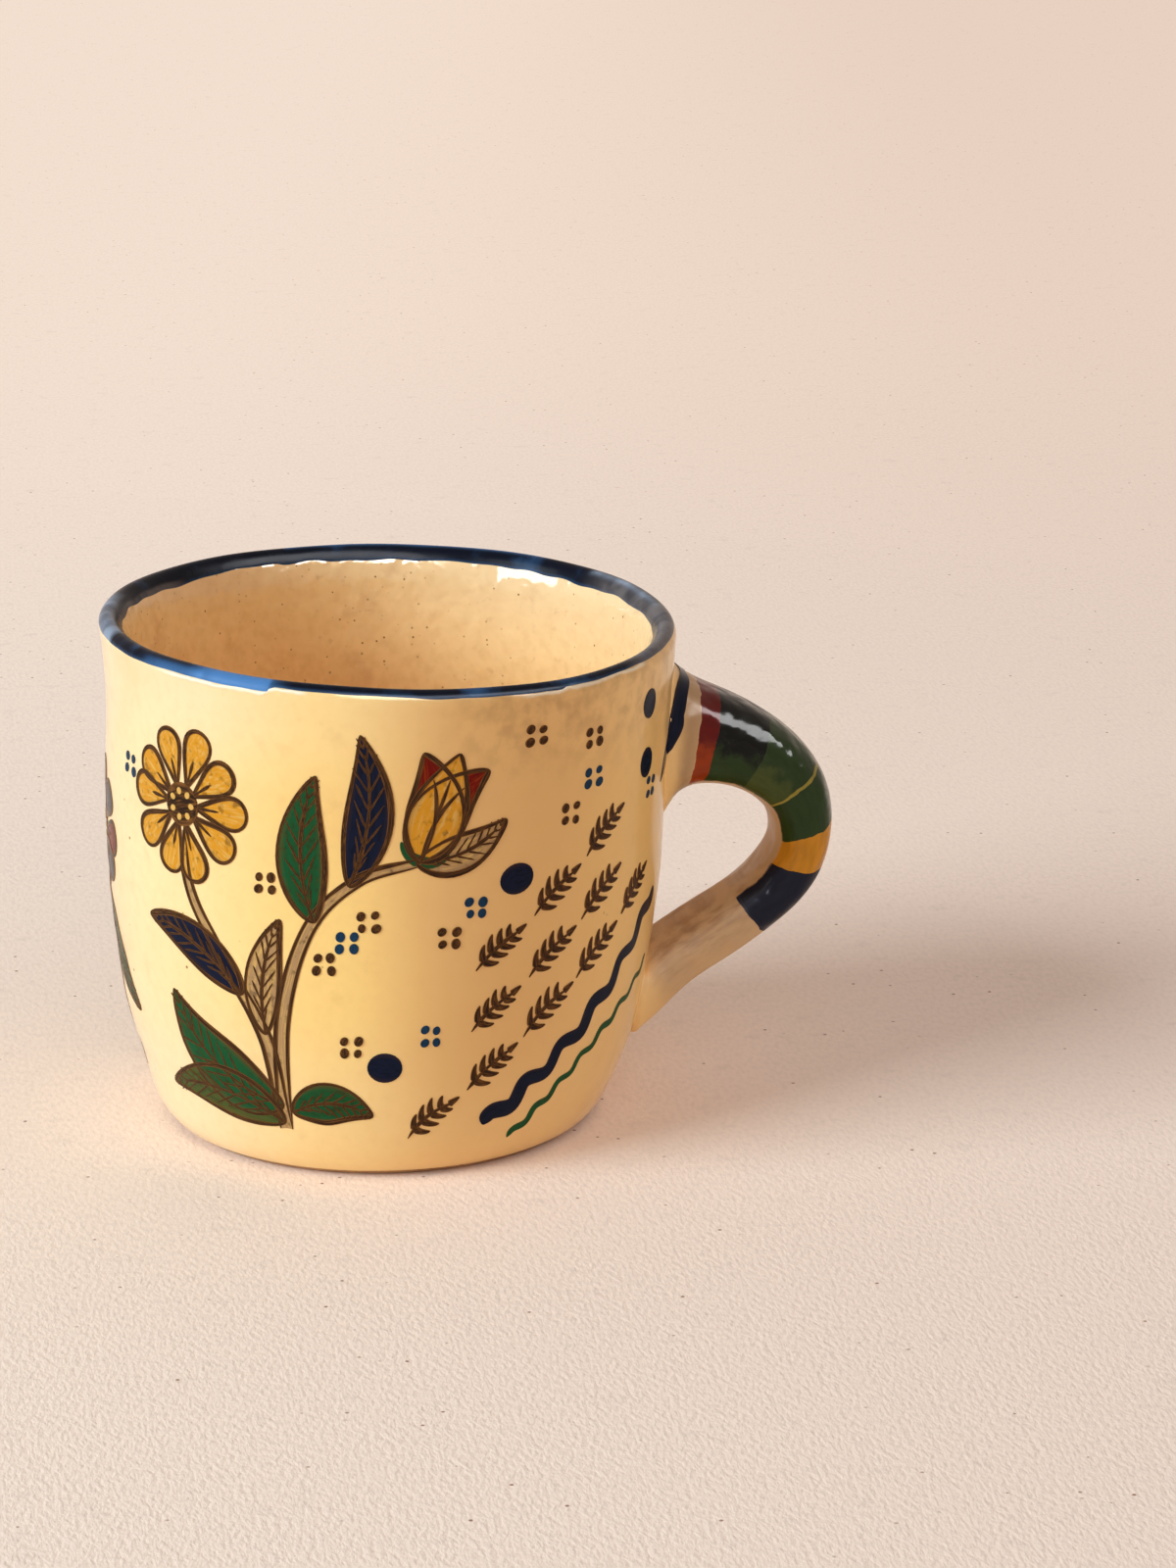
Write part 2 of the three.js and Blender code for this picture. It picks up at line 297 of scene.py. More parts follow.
class Cup:
    """The finished section of the cup, from its foot over the lip to the middle of its floor."""

    def __init__(self, sizes):
        self.sizes = s = sizes
        lip_foot = s.height - s.lip_rise
        waist = lip_foot - s.waist_drop
        crest = s.rim_radius - s.lip_round
        slope = s.wall - s.lip_round
        t = even(WALL_STEPS)
        quarter = math.pi / 2 * even(LIP_STEPS)
        outside = bezier(
            (
                (s.foot_radius, 0),
                (s.foot_radius + s.heel_spread, s.heel_rise),
                (s.rim_radius - s.waist_inset, waist),
                (s.rim_radius, lip_foot),
            ),
            t,
        )
        outer_lip = (crest + s.lip_round * np.cos(quarter), lip_foot + s.lip_rise * np.sin(quarter))
        inner_lip = (crest - slope * np.sin(quarter), s.height - s.lip_shoulder * (1 - np.cos(quarter)))
        inside = bezier(
            (
                (crest - slope, s.height - s.lip_shoulder),
                (crest - slope - s.waist_inset, waist),
                (s.floor_radius + s.inner_spread, s.floor + s.inner_rise),
                (s.floor_radius, s.floor),
            ),
            t,
        )
        floor = np.linspace((s.floor_radius, s.floor), (0, s.floor), FLOOR_STEPS)
        outside = np.vstack([outside, np.stack(outer_lip, 1)[1:]])
        self.section = np.vstack([outside, np.stack(inner_lip, 1)[1:], inside[1:], floor[1:]])
        self.outside = outside
        run = run_along(self.section)
        self.reach = run - run[len(outside) - 1]
        self.out = -left(np.gradient(self.section, self.reach, axis=0))

    def radius_at(self, height):
        return np.interp(height, self.outside[:, 1], self.outside[:, 0])

    def reach_at(self, height):
        """How far a height on the outside lies from the crest of the lip: less than zero."""
        return np.interp(height, self.outside[:, 1], self.reach[: len(self.outside)])

    def section_at(self, reach, depth=0.0):
        """Section points by distance over the crest, negative outside, sunk below the finished surface."""

        def there(values):
            return np.stack([np.interp(reach, self.reach, column) for column in values.T], -1)

        return there(self.section) - np.asarray(depth)[..., None] * unit(there(self.out))

    def stray(self, angle, height):
        """How far the hand-turned wall strays from a true circle."""
        up = height / MM

        def swollen(swellings):
            return sum(part * np.exp(-(((up - peak) / spread) ** 2)) for part, peak, spread in swellings)

        waves = sum(
            part * np.sin(count * angle + phase + climb * up) for part, count, phase, climb in WALL_WAVES
        )
        pressed = np.sin(9 * angle + 0.6) * swollen(HEEL_DENTS)
        flared = 2 * smoothstep(up, 77, 81)
        far_side = np.maximum(-np.cos(angle), 0) ** 2 * (flared + swollen(FAR_SWELLINGS))
        near_side = np.maximum(np.cos(angle), 0) ** 2 * swollen(NEAR_SWELLINGS)
        uneven = waves * smoothstep(up, 0, 16) + pressed + far_side + near_side
        return self.sizes.unevenness * uneven * smoothstep(up, 0, 3)

    def sag(self, angle, height):
        """How far the rim sank: most at the front, and unevenly."""
        s = self.sizes
        waves = sum(part * np.cos(count * angle + math.radians(phase)) for part, count, phase in SAG_WAVES)
        return s.rim_sag * waves * smoothstep(height, s.sag_start, s.height)

    def turned(self, radius, angle, height):
        """Points of the cup, with its lean and the dip of its rim."""
        radius, angle, height = np.broadcast_arrays(radius, angle, height)
        radius = radius + self.stray(angle, height) * smoothstep(radius, 0, EVEN_RADIUS)
        height = height - self.sag(angle, height)
        return self.handmade(radius * np.cos(angle), radius * np.sin(angle), height)

    def handmade(self, x, y, z):
        rise = smoothstep(z, self.sizes.dip_start, self.sizes.height)
        return np.stack([x + self.sizes.lean * z, y, z - self.sizes.rim_dip * x * rise], -1)

    def skin(self, angle, height, lift):
        """Points on the outside wall, lifted off it along its normal."""
        nudge = 0.05 * MM

        def at(angle, height):
            return self.turned(self.radius_at(height), angle, height)

        here = at(angle, height)
        around = at(angle + nudge / self.sizes.rim_radius, height) - here
        up = at(angle, height + nudge) - here
        return here + lift * unit(np.cross(around, up))


class Strap:
    """The glazed surface of the handle, by distance along its middle line and turn round it."""

    def __init__(self, cup, sizes):
        self.cup = cup
        self.sizes = s = sizes
        upper = np.array([0, cup.sizes.height - s.upper_drop])
        lower = np.array([0, s.lower_height])
        upper[0] = cup.radius_at(upper[1])
        lower[0] = cup.radius_at(lower[1])
        belly = np.array([cup.sizes.rim_radius + s.belly_reach, upper[1] - s.belly_drop])
        slope = pointing(s.lower_slope)
        t = even(STRAP_STEPS)
        above = bezier((upper, upper + (s.upper_pull, 0), belly + (0, s.shoulder_pull), belly), t)
        below = bezier((belly, belly - (0, s.elbow_pull), lower + s.lower_pull * slope, lower), t)
        self.line = np.vstack([above, below[1:]])
        self.marks = run_along(self.line)
        self.length = self.marks[-1]
        self.course = np.gradient(self.line, self.marks, axis=0)

    def lump(self, distance, turn):
        waves = np.sin(distance / (4.1 * MM) + turn) + 0.6 * np.sin(distance / (2.3 * MM) - 2 * turn + 1)
        return self.sizes.lumps * waves / 1.6

    def surface(self, distance, turn):
        s = self.sizes
        reached = np.clip(distance, 0, self.length)

        def there(values):
            return np.interp(reached, self.marks, values)

        part = reached / self.length
        upper = np.exp(-np.maximum(distance, -s.flare_sink) / s.flare_length)
        lower = np.exp((np.minimum(distance, self.length + s.flare_sink) - self.length) / s.flare_length)
        taper = smoothstep(part, 0, s.taper_end)
        half = mixed(s.upper_thickness, s.lower_thickness, taper) / 2 + s.upper_flare * upper
        side = mixed(s.upper_width, s.lower_width, taper) / 2 + s.side_flare * (upper + lower)
        settled = np.minimum(lower, 1)
        along_x = mixed(there(self.course[:, 0]), -1, settled)
        along_z = mixed(there(self.course[:, 1]), 0, settled)
        size = np.hypot(along_x, along_z)
        along_x, along_z = along_x / size, along_z / size
        over = self.rounded(np.sin(turn))
        away = self.lump(distance, turn)
        depth = half + away + np.where(over > 0, s.lower_flare * lower, 0)
        x = there(self.line[:, 0]) + along_x * (distance - reached)
        z = there(self.line[:, 1]) + along_z * (distance - reached)
        across = (side + away) * self.rounded(np.cos(turn))
        return self.cup.handmade(x - along_z * depth * over, across, z + along_x * depth * over)

    def rounded(self, value):
        return np.sign(value) * np.abs(value) ** (2 / self.sizes.squareness)


# Meshes


def runs(*parts):
    """Distances in even steps through each part: (start, steps), and so on, and the end."""
    *parts, last = parts
    ends = [start for start, _ in parts[1:]] + [last]
    pieces = [np.linspace(start, end, steps, endpoint=False) for (start, steps), end in zip(parts, ends)]
    return np.concatenate([*pieces, [last]])


def ring_faces(rows, columns, closed):
    """Quads of a grid that runs round in its columns, and in its rows too where it is closed."""
    index = np.arange(rows * columns).reshape(rows, columns)
    beside = np.roll(index, -1, 1)
    quads = np.stack([index, beside, np.roll(beside, -1, 0), np.roll(index, -1, 0)], -1)
    return quads[: rows if closed else rows - 1].reshape(-1, 4).tolist()


def turned_ring(cup, profile):
    """A closed ring turned from a section that comes back to its start."""
    points = cup.turned(profile[:, 0, None], all_round(TURNS), profile[:, 1, None])
    return points.reshape(-1, 3), ring_faces(len(profile), TURNS, True)


def turned_solid(cup, profile):
    """A closed solid turned from a section that starts and ends on the axis."""
    rings = profile[1:-1]
    points = cup.turned(rings[:, 0, None], all_round(TURNS), rings[:, 1, None])
    ends = cup.turned(profile[[0, -1], 0], np.zeros(2), profile[[0, -1], 1])
    faces = ring_faces(len(rings), TURNS, False)
    first = len(rings) * TURNS
    last_ring = first - TURNS
    for column in range(TURNS):
        beside = (column + 1) % TURNS
        faces.append((first, beside, column))
        faces.append((first + 1, last_ring + column, last_ring + beside))
    return np.vstack([points.reshape(-1, 3), ends]), faces


def publish(name, points, faces, finish, replaced=(), values=None):
    """Makes a piece of the cup that rides on its body and stands for solids of the frame."""
    mesh = bpy.data.meshes.new(name)
    mesh.from_pydata(points.tolist(), [], faces)
    for label, numbers in (values or {}).items():
        layer = mesh.attributes.new(label, "FLOAT", "POINT")
        layer.data.foreach_set("value", np.asarray(numbers, np.float32))
    mesh.materials.append(finish)
    mesh.shade_smooth()
    mesh.set_sharp_from_angle(angle=SHARP_ANGLE)
    piece = bpy.data.objects.new(name, mesh)
    bpy.context.scene.collection.objects.link(piece)
    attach(piece, BODY)
    if replaced:
        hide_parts(*replaced)


# Shader sums


class Wire:
    """A node's output that takes part in sums: 1 - mask adds the Math node that it needs."""

    def __init__(self, graph, socket):
        self.graph = graph
        self.socket = socket

    def math(self, operation, first, second=0.0):
        return self.graph.add("ShaderNodeMath", {"operation": operation}, {0: first, 1: second})

    def __add__(self, other):
        return self.math("ADD", self, other)

    def __sub__(self, other):
        return self.math("SUBTRACT", self, other)

    def __rsub__(self, other):
        return self.math("SUBTRACT", other, self)

    def __mul__(self, other):
        return self.math("MULTIPLY", self, other)

    def __abs__(self):
        return self.math("ABSOLUTE", self)

    __radd__ = __add__
    __rmul__ = __mul__

    def step(self, low, high):
        """0 below low, 1 above high and smooth between."""
        return self.graph.add(
            "ShaderNodeMapRange",
            {"interpolation_type": "SMOOTHSTEP"},
            {"Value": self, "From Min": low, "From Max": high},
        )


class Graph:
    """The nodes of a material or a world. Each node comes in through add()."""

    def __init__(self, owner):
        self.owner = owner
        owner.use_nodes = True
        self.tree = owner.node_tree
        self.tree.nodes.clear()

    def add(self, kind, settings=None, inputs=None, output=0):
        node = self.tree.nodes.new(kind)
        for key, value in (settings or {}).items():
            if key == "stops":
                self.set_stops(node.color_ramp, value)
            else:
                setattr(node, key, value)
        for key, value in (inputs or {}).items():
            if isinstance(value, Wire):
                self.tree.links.new(value.socket, node.inputs[key])
            else:
                node.inputs[key].default_value = value
        return Wire(self, node.outputs[output]) if node.outputs else node

    def set_stops(self, ramp, stops):
        ramp.interpolation = "CONSTANT"
        while len(ramp.elements) < len(stops):
            ramp.elements.new(1)
        for element, (position, shade) in zip(ramp.elements, stops):
            element.position = position
            element.color = (*shade, 1)

    def place(self):
        return self.add("ShaderNodeTexCoord", output="Object")

    def axis(self, letter, where=None):
        """One coordinate of the place on a piece, or of another place."""
        return self.add("ShaderNodeSeparateXYZ", inputs={0: where or self.place()}, output=letter)

    def seen(self):
        """1 for what the camera sees, by itself, mirrored or through something clear."""
        rays = ("Is Camera Ray", "Is Glossy Ray", "Is Transmission Ray")
        direct, mirrored, clear = (self.add("ShaderNodeLightPath", output=ray) for ray in rays)
        return direct + mirrored + clear

    def value_of(self, label):
        return self.add("ShaderNodeAttribute", {"attribute_name": label}, output="Fac")

    def noise(self, size, detail=2.0, where=None):
        """Noise from 0 to 1 whose marks are about the given size."""
        return self.add(
            "ShaderNodeTexNoise",
            inputs={"Vector": where or self.place(), "Scale": 1 / size, "Detail": detail},
        )

    def mix(self, part, first, second, blend="MIX"):
        ends = [value if isinstance(value, Wire) else (*value, 1) for value in (first, second)]
        return self.add(
            "ShaderNodeMix",
            {"data_type": "RGBA", "blend_type": blend},
            {0: part, 6: ends[0], 7: ends[1]},
            output=2,
        )

    def specks(self, shade, spacing, size, amount):
        """Lays small dark specks over a colour."""
        cells = {"Vector": self.place(), "Scale": 1 / spacing}
        near = self.add("ShaderNodeTexVoronoi", inputs=cells, output="Distance")
        lot = self.add("ShaderNodeTexVoronoi", inputs=cells, output="Color")
        picked = self.add("ShaderNodeSeparateColor", inputs={"Color": lot}, output="Red")
        reach = size / spacing
        mask = (1 - near.step(0.4 * reach, reach)) * picked.step(1 - amount, 1)
        return self.mix(mask, shade, colours().speck)

    def surface(self, shade, roughness, normal, shine=0.5):
        """Ends the tree in one shader."""
        varied = {"Base Color": shade, "Roughness": roughness, "Normal": normal}
        shader = self.add("ShaderNodeBsdfPrincipled", inputs={**varied, "Specular IOR Level": shine})
        self.add("ShaderNodeOutputMaterial", inputs={"Surface": shader})
        return self.owner

    def bump(self, height, depth):
        return self.add("ShaderNodeBump", inputs={"Height": height, "Distance": depth})

    def glazed(self, shade, gloss=0.13, ripple=0.03, dimple=0.008, relief=0.0, shine=0.3):
        """Ends the tree in a clear glaze over a colour, with the ripples and dimples of a fired surface."""
        dimples = self.noise(2 * MM, 1) * (dimple * MM)
        ripples = self.noise(4.5 * MM, 1) * (ripple * MM)
        swells = self.noise(12 * MM, 1) * (0.1 * MM)
        roughness = gloss + self.noise(5 * MM, 3).step(0.4, 0.8) * 0.09
        return self.surface(shade, roughness, self.bump(dimples + ripples + swells + relief, 1.0), shine)


def colours():
    return bpy.context.scene.teacup_colours


def new_material(name):
    return Graph(bpy.data.materials.new(name))


def cream_ground(graph, thin):
    """Glaze of a given thin colour that turns amber where it lies thick, with a few specks."""
    amber = colours().amber
    pooled = graph.noise(30 * MM, 3).step(0.42, 0.82)
    mottled = graph.noise(1.7 * MM, 4).step(0.35, 0.8)
    shade = graph.mix(pooled * 0.45, thin, amber)
    shade = graph.mix(mottled * 0.16, shade, amber)
    shade = graph.mix(graph.noise(5 * MM, 6).step(0.6, 0.76) * 0.08, shade, colours().orange)
    return graph.specks(shade, 4 * MM, 0.34 * MM, 0.4)


def clay_finish():
    graph = new_material("bare_clay")
    paint = colours()
    grit = graph.noise(0.5 * MM, 4)
    cloud = graph.noise(9 * MM, 3)
    shade = graph.mix(cloud.step(0.3, 0.75) * 0.5, paint.clay, paint.umber)
    shade = graph.mix(grit.step(0.4, 0.7) * 0.35, shade, paint.straw)
    return graph.surface(shade, 0.78 + grit * 0.15, graph.bump(grit, 0.05 * MM))


def cream_finish():
    graph = new_material("cream_glaze")
    paint = colours()
    below = graph.value_of("below") + (graph.noise(4 * MM, 3) - 0.5) * 1.4
    bead = graph.value_of("bead") * below.step(-0.1, 0.15) * (1 - below.step(0.3, 0.8))
    handleward = graph.axis("X")
    up = graph.axis("Z")
    # Painted light and shade: the lit cream on the window's side, away from the handle, turns to cream
    # towards the handle
    thin = graph.mix(handleward.step(-34 * MM, -12 * MM), paint.lit_cream, paint.cream)
    half_way = up.step(12 * MM, 32 * MM) * (1 - up.step(60 * MM, 78 * MM))
    washed = half_way * handleward.step(-52 * MM, -20 * MM)
    shade = cream_ground(graph, graph.mix(washed * 0.45, thin, paint.gold))
    # Painted shade: thick here is the wall turning amber towards the handle, away from the window, more so
    # higher up
    thick = handleward.step(-11 * MM, 9 * MM) * (1 - handleward.step(18 * MM, 38 * MM) * 0.5)
    shade = graph.mix(thick * (0.65 + up.step(8 * MM, 26 * MM) * 0.3), shade, paint.amber)
    stained = graph.noise(3 * MM, 5).step(0.35, 0.7) * up.step(60 * MM, 76 * MM)
    shade = graph.mix(stained * handleward.step(0, 16 * MM) * 0.3, shade, paint.umber)
    # Painted highlight on the bead, which is also raised as a bump
    shade = graph.mix(bead * 0.8, shade, paint.pale)
    return graph.glazed(shade, relief=bead * (0.12 * MM), shine=0.2)


def liner_finish():
    graph = new_material("amber_liner")
    paint = colours()
    pooled = graph.noise(16 * MM, 4).step(0.35, 0.75)
    stains = graph.noise(7 * MM, 6).step(0.56, 0.74)
    rusty = graph.noise(2.4 * MM, 3).step(0.64, 0.74)
    mottled = graph.noise(2 * MM, 4).step(0.4, 0.75)
    handleward = graph.axis("X").step(-10 * MM, 30 * MM)
    up = graph.axis("Z")
    # Darker and more amber towards the bottom of the inside
    deep = 1 - up.step(44 * MM, 77 * MM)
    shade = graph.mix(pooled * 0.2 + mottled * 0.3 + deep * 0.45, paint.liner, paint.amber)
    # Painted light: the lit cream near the top of the inside on the handle's side, where the window lights
    # it
    shade = graph.mix(up.step(60 * MM, 78 * MM) * handleward * 0.6, shade, paint.lit_cream)
    # The last share is painted shade: more orange low on the inside away from the handle, where it lies in
    # shade
    ruddy = stains * 0.2 + rusty * 0.16 + deep * (1 - handleward) * 0.08
    shade = graph.mix(ruddy, shade, paint.orange)
    shade = graph.specks(shade, 1.2 * MM, 0.24 * MM, 0.4)
    shade = graph.specks(shade, 3.7 * MM, 0.34 * MM, 0.4)
    return graph.glazed(shade, 0.08, 0.3, 0.14, shine=0.6)


def band_finish():
    graph = new_material("blue_band")
    paint = colours()
    thin = graph.noise(7 * MM, 3).step(0.5, 0.85)
    across = abs(graph.value_of("across")).step(0.72, 1.0)
    shade = graph.mix(thin * 0.3, paint.band, paint.cobalt)
    shade = graph.mix(graph.value_of("washed") * 0.85, shade, paint.cobalt)
    shade = graph.mix(across * 0.16, shade, paint.cobalt)
    scuffed = 0.4 + graph.noise(4.5 * MM, 2).step(0.35, 0.65) * 0.6
    shade = graph.mix(graph.value_of("worn") * scuffed, shade, paint.slate)
    # Painted sheen on the band's ends and crest
    shade = graph.mix(graph.value_of("misty") * scuffed, shade, paint.band_sheen)
    return graph.glazed(shade, 0.24, 0.1, shine=0.05)


# Painted bands of the handle: millimetres along it where each begins, its colour outside and in the gap
HANDLE_BANDS = (
    (3.6, "rust", "orange"),
    (6.6, "pine", "moss"),
    (14.3, "moss", "olive"),
    (22.5, "lime", "lime"),
    (22.9, "moss", "moss"),
    (31.0, "ochre", "ochre"),
    (37.3, "navy", "navy"),
)
HANDLE_BANDS_END = 48.2
HANDLE_BANDS_EDGE = 0.05

# What darkens the handle's colours in streaks
HANDLE_STREAKS = (0.5, 0.5, 0.46)


def handle_finish(strap):
    graph = new_material("banded_handle")
    paint = colours()
    inner = graph.value_of("inner")
    wander = (graph.noise(3 * MM, 3) - 0.5) * 1.1
    along = graph.value_of("along")
    tilt = along.step(5, 12) * 0.8 + along.step(24, 31) * 0.9 - along.step(40, 47) * 1.6
    along = along - inner * tilt + wander
    end = strap.length / MM

    def bands(column):
        stops = [(0, paint.drab)]
        stops += [(row[0] / end, getattr(paint, row[column])) for row in HANDLE_BANDS]
        stops += [(HANDLE_BANDS_END / end, paint.drab)]
        return graph.add("ShaderNodeValToRGB", {"stops": stops}, {"Fac": along * (1 / end)})

    streaks = graph.add(
        "ShaderNodeCombineXYZ",
        inputs={"X": graph.value_of("along") * 0.25, "Y": inner * 6, "Z": 0.0},
    )
    thick = graph.noise(1.0, 4, streaks).step(0.35, 0.75)
    blotched = (graph.noise(2.6 * MM, 4) - 0.5) * 0.7
    shade = graph.mix((inner + blotched).step(-0.1, 0.14), bands(1), bands(2))
    shade = graph.mix(thick * 0.4, shade, HANDLE_STREAKS, "MULTIPLY")
    ragged = (graph.noise(2.2 * MM, 3) - 0.5) * 0.14

    def past(mark):
        return along.step(mark - HANDLE_BANDS_EDGE, mark + HANDLE_BANDS_EDGE)

    begun = past(HANDLE_BANDS[0][0])
    painted = begun * (1 - past(HANDLE_BANDS_END)) * (1 - (inner + ragged).step(0.74, 0.8))
    # worn here is painted shade: umber at the upper root and on the inner side of the lower arm, where the
    # handle lies in shade
    worn = (1 - along.step(2, 6)) * 0.4 + along.step(30, 50) * thick * (inner + 0.6).step(0, 1.4) * 0.6
    bare = graph.mix(worn, cream_ground(graph, paint.drab), paint.umber)
    rooted = 1 - along.step(-0.5, 2.5) + along.step(end - 5, end + 0.5)
    # The wall's colour by the roots, with the amber of the painted shade on the wall's handle side
    wall = graph.mix(0.45, cream_ground(graph, paint.cream), paint.amber)
    bare = graph.mix(rooted, bare, wall)
    shade = graph.mix(painted, bare, shade)
    gloss = 0.3 - painted * 0.16 + along.step(46, 50) * 0.3
    return graph.glazed(shade, gloss, 0.6, 0.12, shine=0.15)


def brush_finish(name, body, thin, feather, grain):
    """Paint under the glaze, thinner in streaks, with dark grains and an edge that bleeds."""
    graph = new_material(name)
    paint = colours()
    across = graph.value_of("across")
    along = graph.value_of("along")
    where = graph.add(
        "ShaderNodeCombineXYZ",
        inputs={"X": along * 1.2, "Y": across * 2.2, "Z": graph.noise(40 * MM, 0) * 30},
    )
    streaks = graph.noise(0.42, 4, where)
    shade = graph.mix(streaks.step(0.42, 0.72) * 0.75, getattr(paint, body), getattr(paint, thin))
    grains = graph.noise(1.3 * MM, 5).step(0.54, 0.7)
    shade = graph.mix(grains * grain, shade, paint.brown)
    edge = (abs(across) + (streaks - 0.5) * 0.5).step(0.62, 1.05)
    return graph.glazed(graph.mix(edge * feather, shade, paint.umber), shine=0.05)


# Brushwork

# The wall's sheet is unrolled at this radius. Paint stands a coat above the glaze and is sunk into it
SHEET_RADIUS = 44 * MM
PAINT_COAT = 0.05 * MM
PAINT_SINK = 0.15 * MM

# Each stroke of a paint lies a little over the one before, up to a number of strokes
NEXT_STROKE = 0.0015 * MM
STROKES = 40

# Half widths of the finest touch and of the brown lines, with those of a line on each side in pairs
FINEST = 0.02 * MM
HATCH_LINE = 0.15 * MM
LEAF_RIB = 0.26 * MM
LEAF_EDGES = (0.3 * MM, 0.42 * MM)
STEM_EDGES = (0.34 * MM, 0.27 * MM)
PETAL_RIB = 0.24 * MM
PETAL_EDGE = 0.34 * MM
SPRIG_STEM = 0.3 * MM
FAR_STALK = 0.5 * MM


def spot(degrees, millimetres):
    """A place on the wall's sheet: round the cup from the handle, and up from the foot."""
    return np.array([math.radians(degrees) * SHEET_RADIUS, millimetres * MM])


def within(value, limits):
    return limits[0] < value < limits[1]


def through(points, steps):
    """A smooth line through a few set points."""
    points = np.asarray(points, float)
    points = np.vstack([2 * points[0] - points[1], points, 2 * points[-1] - points[-2]])
    t = np.linspace(0, len(points) - 3, steps)
    i = np.minimum(t.astype(int), len(points) - 4)
    f = (t - i)[:, None]
    a, b, c, d = points[i], points[i + 1], points[i + 2], points[i + 3]
    return b + 0.5 * f * (c - a + f * (2 * a - 5 * b + 4 * c - d + f * (3 * (b - c) + d - a)))


def left_of(path):
    """Unit directions to the left of a path."""
    return left(unit(np.gradient(path, axis=0)))


class Brush:
    """One paint. It gathers ribbons on the wall's sheet and makes one mesh of them."""

    def __init__(self, cup, coat):
        self.cup = cup
        self.lift = PAINT_COAT * coat
        self.points = []
        self.faces = []
        self.along = []
        self.across = []
        self.count = 0

    def lay(self, path, half_width, columns=3):
        """A ribbon of paint along a path, with a half width at each of its points."""
        across = np.linspace(-1, 1, columns)
        half_width = np.maximum(half_width, FINEST)
        sheet = path[:, None] + left_of(path)[:, None] * (half_width[:, None] * across)[..., None]
        angle = sheet[..., 0] / SHEET_RADIUS
        lift = self.lift + NEXT_STROKE * (self.count % STROKES)
        top = self.cup.skin(angle, sheet[..., 1], lift)
        bottom = self.cup.skin(angle, sheet[..., 1], -PAINT_SINK)
        self.add(top, bottom, across)

    def add(self, top, bottom, across):
        """A thin closed solid between two like grids."""
        rows, columns = top.shape[:2]
        size = rows * columns
        start = sum(len(part) for part in self.along)
        index = np.arange(size).reshape(rows, columns)
        quads = np.stack([index[:-1, :-1], index[1:, :-1], index[1:, 1:], index[:-1, 1:]], -1)
        quads = quads.reshape(-1, 4)
        loop = np.concatenate([index[:-1, 0], index[-1, :-1], index[:0:-1, -1], index[0, :0:-1]])
        after = np.roll(loop, -1)
        sides = np.stack([after, loop, loop + size, after + size], -1)
        self.faces.append(np.vstack([quads, quads[:, ::-1] + size, sides]) + start)
        self.points.append(np.vstack([top.reshape(-1, 3), bottom.reshape(-1, 3)]))
        self.along.append(np.tile(np.repeat(even(rows), columns), 2))
        self.across.append(np.tile(np.tile(across, rows), 2))
        self.count += 1

    def make(self, name, finish, slot):
        values = {"along": np.concatenate(self.along), "across": np.concatenate(self.across)}
        publish(name, np.vstack(self.points), np.vstack(self.faces).tolist(), finish, values=values)


# The painter's colours: coat, body, thin colour, how strongly the edge bleeds, grain, slot of the finish
PAINTS = {
    "taupe": (0.9, "taupe", "straw", 0.3, 0.5, "cream_glaze"),
    "olive": (1.0, "olive", "moss", 0.35, 0.3, "cream_glaze"),
    "green": (1.3, "green", "moss", 0.25, 0.4, "cream_glaze"),
    "ochre": (1.1, "ochre", "straw", 0.4, 0.5, "cream_glaze"),
    "rust": (1.2, "rust", "orange", 0.4, 0.3, "cream_glaze"),
    "navy": (1.5, "navy", "band", 0.1, 0.0, "blue_glaze"),
    "blue": (1.6, "blue", "navy", 0.1, 0.0, "blue_glaze"),
    "brown": (1.9, "brown", "umber", 0.7, 0.0, "cream_glaze"),
    "yolk": (3.4, "straw", "ochre", 0.2, 0.2, "cream_glaze"),
}

# Places on the wall are degrees from the handle and millimetres up

# Leaves of a spray: paint, base, tip, half width, bow
SPRAY_LEAVES = (
    ("green", (-118, 13), (-145, 29), 5.2, 3.4),
    ("olive", (-118, 10), (-151, 12), 4.2, -2.8),
    ("green", (-116, 12), (-98, 12), 3.4, 2.2),
    ("navy", (-126, 31), (-151, 40), 3.3, -2.4),
    ("taupe", (-121, 25), (-117, 44), 2.9, 1.6),
    ("green", (-110, 44), (-109.5, 67), 3.7, 2.2),
    ("navy", (-103, 50), (-101, 74), 3.4, -2.2),
    ("taupe", (-90, 54), (-72, 60), 2.9, -1.8),
)
SPRAY_STEMS = (
    ((-118, 9), (-121, 24), (-130, 36), (-138, 46), (-140, 55)),
    ((-118, 9), (-117, 28), (-111, 43), (-101, 51), (-89, 54)),
)

# Flowers, and ovals with their length
DAISY = (-140, 59)
TULIP = (-89, 54)
FAR_DAISY = (180, 48)
BROWN_FLOWERS = (
    (-66, 73), (-51.5, 71), (-57, 59), (-120, 49.5), (-108, 37.5), (-99, 44.5), (-83, 41.5), (-102.5, 24),
)
BLUE_FLOWERS = ((-51, 64), (-77.5, 46), (-103.5, 41), (-86, 25.5), (-29, 58.5), (-158, 62))
OVALS = ((-69, 50, 5.7), (-95.5, 20.5, 5.7), (-32, 73, 4.4), (-32, 63, 4.2))

# Wavy lines
NAVY_WAVE = ((-72.5, 9), (-47.5, 23), (-22, 40))
GREEN_WAVE = ((-65, 5.5), (-43, 18.5), (-20, 27.5))

# Rows of sprigs above the navy wave, with every other row shifted along it
SPRIG_START = 6 * MM
SPRIG_SPACING = 12.5 * MM
SPRIG_SHIFT = 6 * MM
ROW_START = 7.5 * MM
ROW_SPACING = 7.8 * MM

# Where a sprig may stand: degrees from the handle, heights, and the room that it leaves round other marks
SPRIG_ANGLES = (33, 90)
SPRIG_HEIGHTS = (9 * MM, 66 * MM)
SPRIG_ROOM = 4.2 * MM

# Start of the chance by which the painter's hand shakes
HAND = 11


